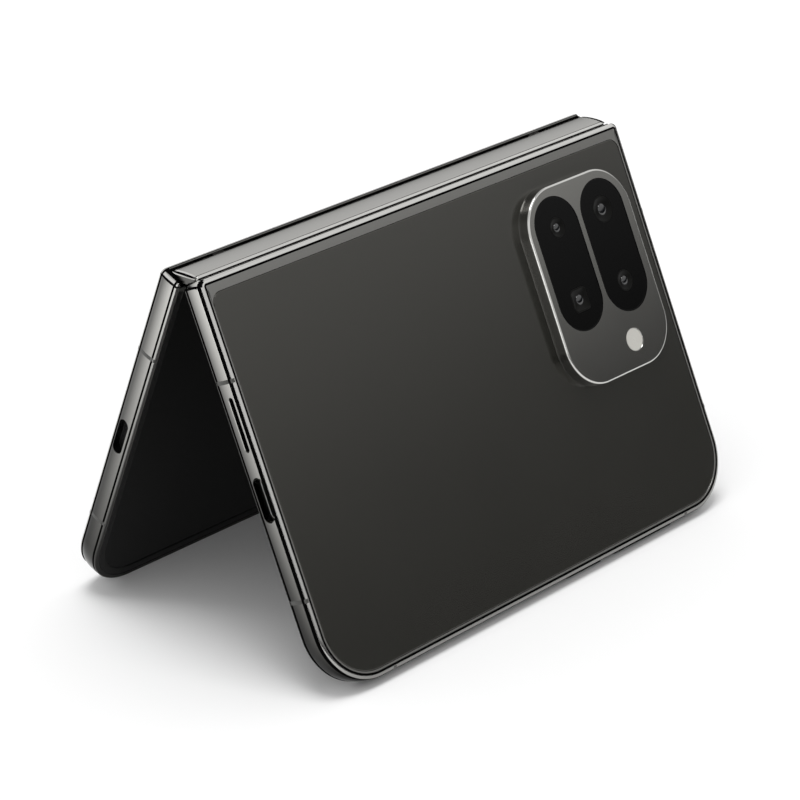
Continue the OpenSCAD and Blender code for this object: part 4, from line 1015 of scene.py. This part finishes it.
class PHONE_OT_spine(bpy.types.Operator):
    """Build the spine cover and the hinge end caps"""
    bl_idname = "phone.spine"
    bl_label = "Spine"
    bl_options = {"REGISTER", "UNDO"}

    def execute(self, context):
        p = sizes()
        self.cover(p)
        form = Form(on_spine)
        loop = (arc(2.2, -1.45, 0.8, 0, 80, 8) + arc(-2.2, -1.45, 0.8, 100, 180, 8)
                + arc(-1.4, -1.95, 0.4, 180, 270, 6) + arc(1.4, -1.95, 0.4, 270, 360, 6))
        ends = [(2.92, 0.0), (1.62, 0.0), (1.55, 0.03), (1.5, 0.1)]
        for sign in (-1, 1):
            form.grid([[(sign * (p.half_len - e), y * (1 - g / 3), z - g * (1 if z > -1.3 else -1))
                        for y, z in loop] for e, g in ends], around=False, caps=True, marks=3)
            form.box(*span(sign, p.half_len - 2.91, p.half_len - 4.1), -2.9, 2.9, -1.6, -0.95, 3)
            self.roof(p, form, sign)
        settle(form.piece("end_cap_pair", SPINE_FINISHES, 40), "spine", "dark_trim",
               "hinge_end_caps")
        return {"FINISHED"}

    def cover(self, p):
        """The long cover, which dips at its ends, with windows for the sync arms."""
        profile, x1 = spine_profile(p), p.half_len - 1.62
        dips = [(0.0, 0.2), (0.03, 0.14), (0.42, 0.03), (0.5, 0.0)]
        stations = ([(d - x1, dip) for d, dip in dips] + [(x, 0.0) for x in (-30, 0, 30)]
                    + [(x1 - d, dip) for d, dip in reversed(dips)])
        form = Form(on_spine)
        # The crown's tips at the ends are painted near-black, painted shade, and the dips beside them lighter, a
        # painted highlight.
        form.grid([[(x, y, z - (dip if z > -0.7 else 0)) for x, dip in stations]
                   for y, z, _ in profile], along=False, caps=True,
                  marks=[mark for _, _, mark in profile], columns={0: 1, 1: 2, 8: 2, 9: 1})
        obj = form.piece("spine_shell", SPINE_FINISHES[:3], 34, weighted=False)
        for sign in (-1, 1):
            tool = Form(on_spine)
            tool.box(*span(sign, *SYNC_WINDOW), -5, 5, -2.4, -0.78)
            cut(obj, tool)
        smooth(obj, 34)
        settle(obj, "spine", "metal", "spine_cover")

    def roof(self, p, form, sign):
        """The arched lip at the end of the spine, with a dark groove towards the cover. The shallow
        groove is painted near-black, painted shade, and the lip's rounded edge lighter, a painted
        highlight.
        """
        section = [(2.1, -0.26, 0), (0.8, -0.26, 0), (0.68, -0.22, 2), (0.62, -0.14, 2),
                   (0.63, -0.07, 2), (0.7, -0.02, 2), (0.84, 0.0, 1), (1.14, -0.02, 1),
                   (1.5, -0.04, 1), (2.1, -0.04, 0)]
        arch = [(y, (abs(y) / ROOF_HALF) ** 3)
                for y in (ROOF_HALF * sind(a) for a in range(-90, 91, 10))]
        form.grid([[(sign * (p.half_len - e - max(0.0, 1.5 - e) * 0.6 * bend), y,
                     -0.33 - 0.014 * y * y + dz * (1 - 0.35 * bend)) for y, bend in arch]
                   for e, dz, _ in section], along=False, caps=True,
                  marks=[mark for _, _, mark in section])


# ---------------------------------------------------------------- inner display

FOLD_START = 3.3
FOLD_INSET = 2.88
DISPLAY_INSET = 1.35
SCREEN_W = (0.25, 0.85)


def fold_line(p, sign):
    """The half's direction at rest, and how far along it the display's face starts and ends to
    bend."""
    sin, cos, depth = sind(STANCE), cosd(STANCE), p.fold_w - SCREEN_W[0]
    leg = Vector((sign * sin, -cos))
    start = Vector((0.0, -depth)) @ leg
    at_end = Vector((sign * (p.offset + FOLD_START * sin - depth * cos),
                     -FOLD_START * cos - depth * sin))
    return leg, start, at_end @ leg


def fold_rest(p, sign, reach, drop):
    """Where a point of the flat open display lies at rest, bent by a weight that eases along the
    fold.
    """
    leg, start, end = fold_line(p, sign)
    axis = Vector((sign * p.offset, 0.0))
    rel = Vector((sign * reach, -drop)) - axis

    def turned(weight):
        a = -sign * weight * math.radians(OPENING)
        sin, cos = math.sin(a), math.cos(a)
        return axis + Vector((rel.x * cos - rel.y * sin, rel.x * sin + rel.y * cos))

    def gap(weight):
        t = min(max((turned(weight) @ leg - start) / (end - start), 0.0), 1.0)
        return t * t * (3 - 2 * t) - weight
    low, high = 0.0, 1.0
    for _ in range(48):
        middle = (low + high) / 2
        low, high = (middle, high) if gap(middle) > 0 else (low, middle)
    return turned(low)


class PHONE_OT_display(bpy.types.Operator):
    """Build the inner display: two flat halves and the part that bends at the fold"""
    bl_idname = "phone.display"
    bl_label = "Inner display"
    bl_options = {"REGISTER", "UNDO"}

    def execute(self, context):
        p = sizes()
        for side, sign in SIGN.items():
            form = Form(stand(side))
            form.grid(plan_rows(p, ((0.0, PLATE_LOW), (0.0, 0.3), (0.05, 0.25)), DISPLAY_INSET,
                                FOLD_START, 0.02, follow=False), around=False, caps=True)
            settle(form.piece(f"{side}_screen", ["display"], 30), BODY[side], "display",
                   f"{side}_display_half")
            self.bend(p, side, sign)
        return {"FINISHED"}

    def bend(self, p, side, sign):
        """Half of the part that bends, drawn flat and bent to where it rests."""
        x1, steps, reach = p.half_len - FOLD_INSET, 28, p.offset + FOLD_START
        front, back = ([fold_rest(p, sign, reach * i / steps, p.fold_w - w)
                        for i in range(steps + 1)] for w in SCREEN_W)
        form = Form(on_spine)
        form.grid([[(x, q.x, q.y) for x in (-x1, -20, 20, x1)] for q in front + back[::-1]],
                  along=False, caps=True)
        obj = form.piece(f"{side}_screen_bend", ["display"], 30, weighted=False)
        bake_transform(obj)
        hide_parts("inner_display_fold")


class PHONE_OT_bezels(bpy.types.Operator):
    """Build the soft trims round the inner display with their guards at the fold"""
    bl_idname = "phone.bezels"
    bl_label = "Bezels"
    bl_options = {"REGISTER", "UNDO"}

    def execute(self, context):
        p, wide = sizes(), 1.6
        trim = p.rim + 0.03
        section = [(0.0, 0.25), (0.0, 0.09), (0.03, 0.05), (0.09, 0.03), (wide - 0.25, 0.03),
                   (wide - 0.08, 0.08), (wide, 0.25)]
        for side in SIGN:
            form = Form(stand(side))
            rows = plan_rows(p, section, trim, FOLD_START, 0.02, follow=False)
            form.grid([[(x, max(s, FOLD_START), w) for x, s, w in
                        row[HINGE_STEPS:-TOP_COUNT - HINGE_STEPS]] for row in rows],
                      along=False, caps=True)
            for sign in (-1, 1):
                x = sign * (p.half_len - trim - wide / 2)
                form.grid([[(a * lean, s, w) for a, s in rounded(x, 4.2, wide - 2 * d,
                                                                 3.4 - 2 * d, 0.45 - d, 6)]
                           for d, w, lean in ((0.0, 0.24, 1.0), (0.0, 0.07, 1.0),
                                              (0.05, 0.03, 0.9995))],
                          around=False, caps=True, marks=1)
            settle(form.piece(f"{side}_bezel_trim", ["bezel_rubber", "band_plastic"], 40),
                   BODY[side], "dark_trim", f"{side}_bezel")
        return {"FINISHED"}


# ---------------------------------------------------------------- keys, tray, ports and screws

# Boxes of the tray behind its face: distances in from the side, then along and in thickness.
TRAY_BOXES = ((18, 0.9, -6.75, -5.75, -0.35, 0.35), (18, 0.9, 5.75, 6.75, -0.35, 0.35),
              (18, 0.9, -5.8, 5.8, -0.35, -0.1), (18, 16.5, -5.8, 5.8, -0.3, 0.35),
              (3.5, 0.9, -5.8, 5.8, -0.3, 0.35))


class PHONE_OT_keys(bpy.types.Operator):
    """Build the power key, the volume rocker and the card tray"""
    bl_idname = "phone.keys"
    bl_label = "Keys and tray"
    bl_options = {"REGISTER", "UNDO"}

    def execute(self, context):
        p = sizes()
        out, back = p.leg + KEY_PROUD, p.leg - p.wall - 0.4
        for name, node in (("power", "power_button"), ("volume", "volume_rocker")):
            x, run = KEYS[name]
            form = Form(stand("rear"))
            form.stack(((0.0, back), (0.0, out - 0.12), (-0.04, out - 0.04), (-0.14, out)),
                       (x, PORT_W), (run, KEY_TALL), n=10, axis="s")
            wide = run + 1 if name == "power" else run / 3
            form.stack(((0.0, back), (0.0, p.leg - p.wall - 0.1)), (x, PORT_W),
                       (wide, KEY_TALL + 0.6), 1.2, 6, axis="s")
            settle(form.piece(f"{name}_key_cap", ["satin_metal"], 35), f"{name}_key", "metal",
                   node)
        form, x = Form(stand("cover")), p.half_len
        form.stack(((0.0, x - 1.0), (0.0, x - 0.08), (-0.03, x - 0.02), (-0.1, x)),
                   (TRAY_S, PORT_W), (15.5, 1.5), n=10, axis="x")
        for x0, x1, s0, s1, w0, w1 in TRAY_BOXES:
            form.box(x - x0, x - x1, TRAY_S + s0, TRAY_S + s1, PORT_W + w0, PORT_W + w1)
        settle(form.piece("tray_with_face", ["satin_metal"], 35), "tray", "metal", "card_tray")
        return {"FINISHED"}


class PHONE_OT_ports(bpy.types.Operator):
    """Build the connector shell with its contacts and the speaker meshes, whose holes are black
    discs, painted shade
    """
    bl_idname = "phone.ports"
    bl_label = "Ports"
    bl_options = {"REGISTER", "UNDO"}

    def execute(self, context):
        p = sizes()
        self.connector(p)
        for side, node, s, w, run, tall in (
                ("rear", "rear_speaker_mesh", 28.9, 2.87, 10.86, 1.06),
                ("cover", "cover_speaker_mesh", 42.1, PORT_W, 8.36, 2.56)):
            self.grille(p, side, node, s, w, run, tall)
        return {"FINISHED"}

    def connector(self, p):
        """The steel shell of the connector, its tongue and two rows of contacts."""
        place, w, pins, pitch = stand("rear"), PORT_W, 12, 0.5
        s0, x0 = CONNECTOR_S, -p.half_len + p.wall - 0.2
        outer, inner, back = (8.98, 2.98), (8.48, 2.48), (0.2, 0.1)
        shell = [(x0 + 0.12, outer), (x0 + 6.95, outer), (x0 + 6.95, back), (x0 + 6.4, back),
                 (x0 + 6.4, inner), (x0 + 0.05, inner), (x0, (8.6, 2.6)), (x0, (8.8, 2.8))]
        form = Form(place)
        form.grid([[(x, a, b) for a, b in rounded(s0, w, *size, ROUND, 12)]
                   for x, size in shell])
        form.stack(((-0.08, x0 + 0.8), (0.0, x0 + 0.9), (0.0, x0 + 6.6)), (s0, w), (6.6, 0.7),
                   0.3, 5, axis="x", marks=1)
        settle(form.piece("connector_shell", ["port_steel", "port_plastic"], 35), BODY["rear"],
               "steel", "usb_port")
        points = [(x0 + 3.2, s0 + (i - (pins - 1) / 2) * pitch, w + side * 0.355)
                  for i in range(pins) for side in (-1, 1)]
        shape = one_shape("rear", lambda f: f.box(-1.6, 1.6, -0.14, 0.14, -0.015, 0.015))
        settle(repeat("connector_contacts", shape, points, "contact_gold", place), BODY["rear"],
               "copper")

    def grille(self, p, side, node, s, w, run, tall):
        """A speaker's plate with rows of black discs on its face, painted shade standing in for
        small holes.
        """
        place, x1, pitch, hole = stand(side), -p.half_len + p.wall, 0.34, 0.1
        form = Form(place)
        form.stack(((0.0, x1 - 0.28), (0.0, x1 - 0.02)), (s, w), (run, tall), n=10, axis="x")
        settle(form.piece(f"{side}_grille_plate", ["mesh_black"], 35), BODY[side],
               "black_plastic", node)
        points = []
        for j in range(-6, 7):
            for i in range(-24, 25):
                a, b = (i + (j % 2) / 2) * pitch, j * pitch * 0.866
                if abs(b) < tall / 2 - 0.16 and abs(a) < run / 2 - 0.2 - max(
                        0.0, abs(b) - tall / 2 + 0.5):
                    points.append((x1 - 0.285, s + a, w + b))
        shape = one_shape(side, lambda f: f.stack(((hole, -0.012), (hole, 0.012)), (0, 0), n=2,
                                                  axis="x"))
        settle(repeat(f"{side}_grille_holes", shape, points, "hole_black", place), BODY[side],
               "black_plastic")


# Outlines of the screws as (radius, place along the screw).
ARM_SCREW = ((0.43, -2.4), (0.43, -0.02), (0.8, 0.0), (0.8, 0.22), (0.72, 0.3), (0.34, 0.3),
             (0.2, 0.16))
SPINE_SCREW = ((0.33, 1.83), (0.33, 0.22), (0.57, 0.2), (0.57, 0.05), (0.5, 0.0), (0.25, 0.0),
               (0.15, 0.1))


class PHONE_OT_screws(bpy.types.Operator):
    """Build the small screws of the hinge arms and the spine, with sockets in their heads"""
    bl_idname = "phone.screws"
    bl_label = "Screws"
    bl_options = {"REGISTER", "UNDO"}

    def execute(self, context):
        p = sizes()
        arms = [(sign * 46.1, 7.15, p.fold_w + 0.5) for sign in (-1, 1)]
        spine = [(sign * 43.7, y, -2.33) for sign in (-1, 1) for y in (-1.2, 1.2)]
        for side, name, screw, points in (("rear", "rear_arm", ARM_SCREW, arms),
                                          ("cover", "cover_arm", ARM_SCREW, arms),
                                          ("spine", "spine", SPINE_SCREW, spine)):
            shape = one_shape(side, lambda f: f.stack(screw, (0, 0), n=4))
            obj = repeat(f"{name}_screw_set", shape, points, "steel", stand(side))
            settle(obj, BODY[side], "steel", f"{name}_screws")
        return {"FINISHED"}


# ---------------------------------------------------------------- inner parts

# What each material slot of the carried-over parts is finished as.
SLOT_FINISH = {
    "metal": "satin_metal", "dark_trim": "band_plastic", "back_glass": "back_glass",
    "black_gloss": "window_glass", "display": "display", "steel": "steel",
    "battery": "battery_foil", "board": "solder_mask", "copper": "enamel_wire",
    "black_plastic": "black_plastic", "diffuser": "flash_diffuser", "phosphor": "phosphor",
}


class PHONE_OT_inner_parts(bpy.types.Operator):
    """Give the carried-over hinge, battery and board parts their finishes"""
    bl_idname = "phone.inner_parts"
    bl_label = "Inner parts"
    bl_options = {"REGISTER", "UNDO"}

    def execute(self, context):
        slots = {s["node"]: s.get("material_slot", s["node"])
                 for s in frame["record"]["subparts"]}
        for node, obj in frame["nodes"].items():
            if obj.hide_render:
                continue
            finish = mat(SLOT_FINISH[slots[node]])
            if not obj.material_slots:
                obj.data.materials.append(finish)
            for held in obj.material_slots:
                held.material = finish
        return {"FINISHED"}


# ---------------------------------------------------------------- stage

# The camera's angles and its place from the fold axis, in millimetres along right, up and back.
VIEW_AZ, VIEW_EL, VIEW_ROLL = -46.392, 23.482, -1.278
VIEW_SCALE = 82.5
VIEW_AIM = (-0.00362 * VIEW_SCALE, -0.500475 * VIEW_SCALE, 7.570733 * VIEW_SCALE)
VIEW_FOCUS_PX, IMAGE_PX, SENSOR = 3121.34, 800.0, 36.0
VIEW_DROP = 0.72
FLOOR_HALF, FLOOR_COLOUR = 2.5, (0.93, 0.93, 0.93, 1)
# Grey of the world at a height: dark near the horizon and light above it.
WORLD_STOPS = ((0.0, 0.02), (0.105, 0.02), (0.17, 0.12), (0.25, 0.80), (0.34, 0.86), (0.5, 1.0),
               (0.72, 0.98), (0.82, 0.6), (1.0, 0.45))
# Each lamp: its place, width, height and power. All look at LAMP_AIM.
LAMPS = {
    "key_softbox": ((-0.15, -0.05, 2.1), 0.9, 0.9, 20.5),
    "left_softbox": ((-1.5, -0.62, 0.24), 1.1, 0.36, 2.9),
}
LAMP_AIM = Vector((0, 0, 0.04))


def view_axes():
    """The camera's right, up and back vectors."""
    az, el = VIEW_AZ, VIEW_EL
    back = Vector((sind(az) * cosd(el), -cosd(az) * cosd(el), sind(el)))
    right = Vector((0, 0, 1)).cross(back).normalized()
    up, sin, cos = back.cross(right), sind(VIEW_ROLL), cosd(VIEW_ROLL)
    return right * cos + up * sin, up * cos - right * sin, back


class PHONE_OT_stage(bpy.types.Operator):
    """Set up the pale floor, the soft lights, the world and the camera"""
    bl_idname = "phone.stage"
    bl_label = "Stage"
    bl_options = {"REGISTER", "UNDO"}

    def execute(self, context):
        context.scene.view_settings.view_transform = "Standard"
        self.camera(context.scene, sizes().axis_z)
        self.floor()
        self.world(context.scene)
        self.lamps(context.scene)
        return {"FINISHED"}

    def camera(self, scene, axis_z):
        right, up, back = view_axes()
        camera = bpy.data.objects.new("phone_camera", bpy.data.cameras.new("phone_camera"))
        scene.collection.objects.link(camera)
        spot = (right * VIEW_AIM[0] + up * VIEW_AIM[1] + back * VIEW_AIM[2]
                + Vector((0, 0, axis_z - VIEW_DROP))) * MM
        turn = Matrix((right, up, back)).transposed().to_4x4()
        camera.matrix_world = Matrix.Translation(spot) @ turn
        camera.data.sensor_width = SENSOR
        camera.data.lens = VIEW_FOCUS_PX * SENSOR / IMAGE_PX
        camera.data.clip_start, camera.data.clip_end = 0.01, 20.0
        scene.camera = camera

    def floor(self):
        corners = [(x * FLOOR_HALF, y * FLOOR_HALF, 0)
                   for x, y in ((-1, -1), (1, -1), (1, 1), (-1, 1))]
        material = bpy.data.materials.new("pale_floor")
        material.use_nodes = True
        fill(material.node_tree.nodes["Principled BSDF"],
             {"Base Color": FLOOR_COLOUR, "Roughness": 1.0, "Specular IOR Level": 0.0})
        new_object("pale_floor", corners, [(0, 1, 2, 3)], [material])

    def world(self, scene):
        world = bpy.data.worlds.new("studio")
        scene.world = world
        world.use_nodes = True
        nodes, link = world.node_tree.nodes, world.node_tree.links.new
        where, split = nodes.new("ShaderNodeTexCoord"), nodes.new("ShaderNodeSeparateXYZ")
        ramp = nodes.new("ShaderNodeValToRGB")
        link(where.outputs["Generated"], split.inputs["Vector"])
        link(split.outputs["Z"], ramp.inputs["Fac"])
        elements = ramp.color_ramp.elements
        elements[1].position = 1.0
        for spot, _ in WORLD_STOPS[1:-1]:
            elements.new(spot)
        for element, (spot, level) in zip(elements, WORLD_STOPS):
            element.position, element.color = spot, (level, level, level, 1.0)
        link(ramp.outputs["Color"], nodes["Background"].inputs["Color"])

    def lamps(self, scene):
        for name, (spot, w, h, power) in LAMPS.items():
            lamp = bpy.data.lights.new(name, "AREA")
            lamp.shape, lamp.size, lamp.size_y, lamp.energy = "RECTANGLE", w, h, power
            obj = bpy.data.objects.new(name, lamp)
            scene.collection.objects.link(obj)
            obj.location = spot
            obj.rotation_euler = (LAMP_AIM - obj.location).to_track_quat("-Z", "Y").to_euler()


OPERATORS = (
    PHONE_OT_frames, PHONE_OT_bands, PHONE_OT_glass, PHONE_OT_island, PHONE_OT_windows,
    PHONE_OT_spine, PHONE_OT_display, PHONE_OT_bezels, PHONE_OT_keys, PHONE_OT_ports,
    PHONE_OT_screws, PHONE_OT_inner_parts, PHONE_OT_stage,
)


class PHONE_PT_panel(bpy.types.Panel):
    """Lists the pieces of the phone"""
    bl_idname = "PHONE_PT_panel"
    bl_label = "Folding Phone"
    bl_space_type = "VIEW_3D"
    bl_region_type = "UI"
    bl_category = "Phone"

    def draw(self, context):
        for operator in OPERATORS:
            self.layout.operator(operator.bl_idname)
        for group in (context.scene.phone_sizes, context.scene.phone_colours):
            for name in type(group).__annotations__:
                self.layout.prop(group, name)


CLASSES = (PhoneSizes, PhoneColours, *OPERATORS, PHONE_PT_panel)


def register():
    for cls in CLASSES:
        bpy.utils.register_class(cls)
    bpy.types.Scene.phone_sizes = bpy.props.PointerProperty(type=PhoneSizes)
    bpy.types.Scene.phone_colours = bpy.props.PointerProperty(type=PhoneColours)


def unregister():
    del bpy.types.Scene.phone_colours
    del bpy.types.Scene.phone_sizes
    for cls in reversed(CLASSES):
        bpy.utils.unregister_class(cls)


def main():
    register()
    for operator in OPERATORS:
        getattr(bpy.ops.phone, operator.bl_idname.split(".")[1])()


if __name__ == "__main__":
    main()
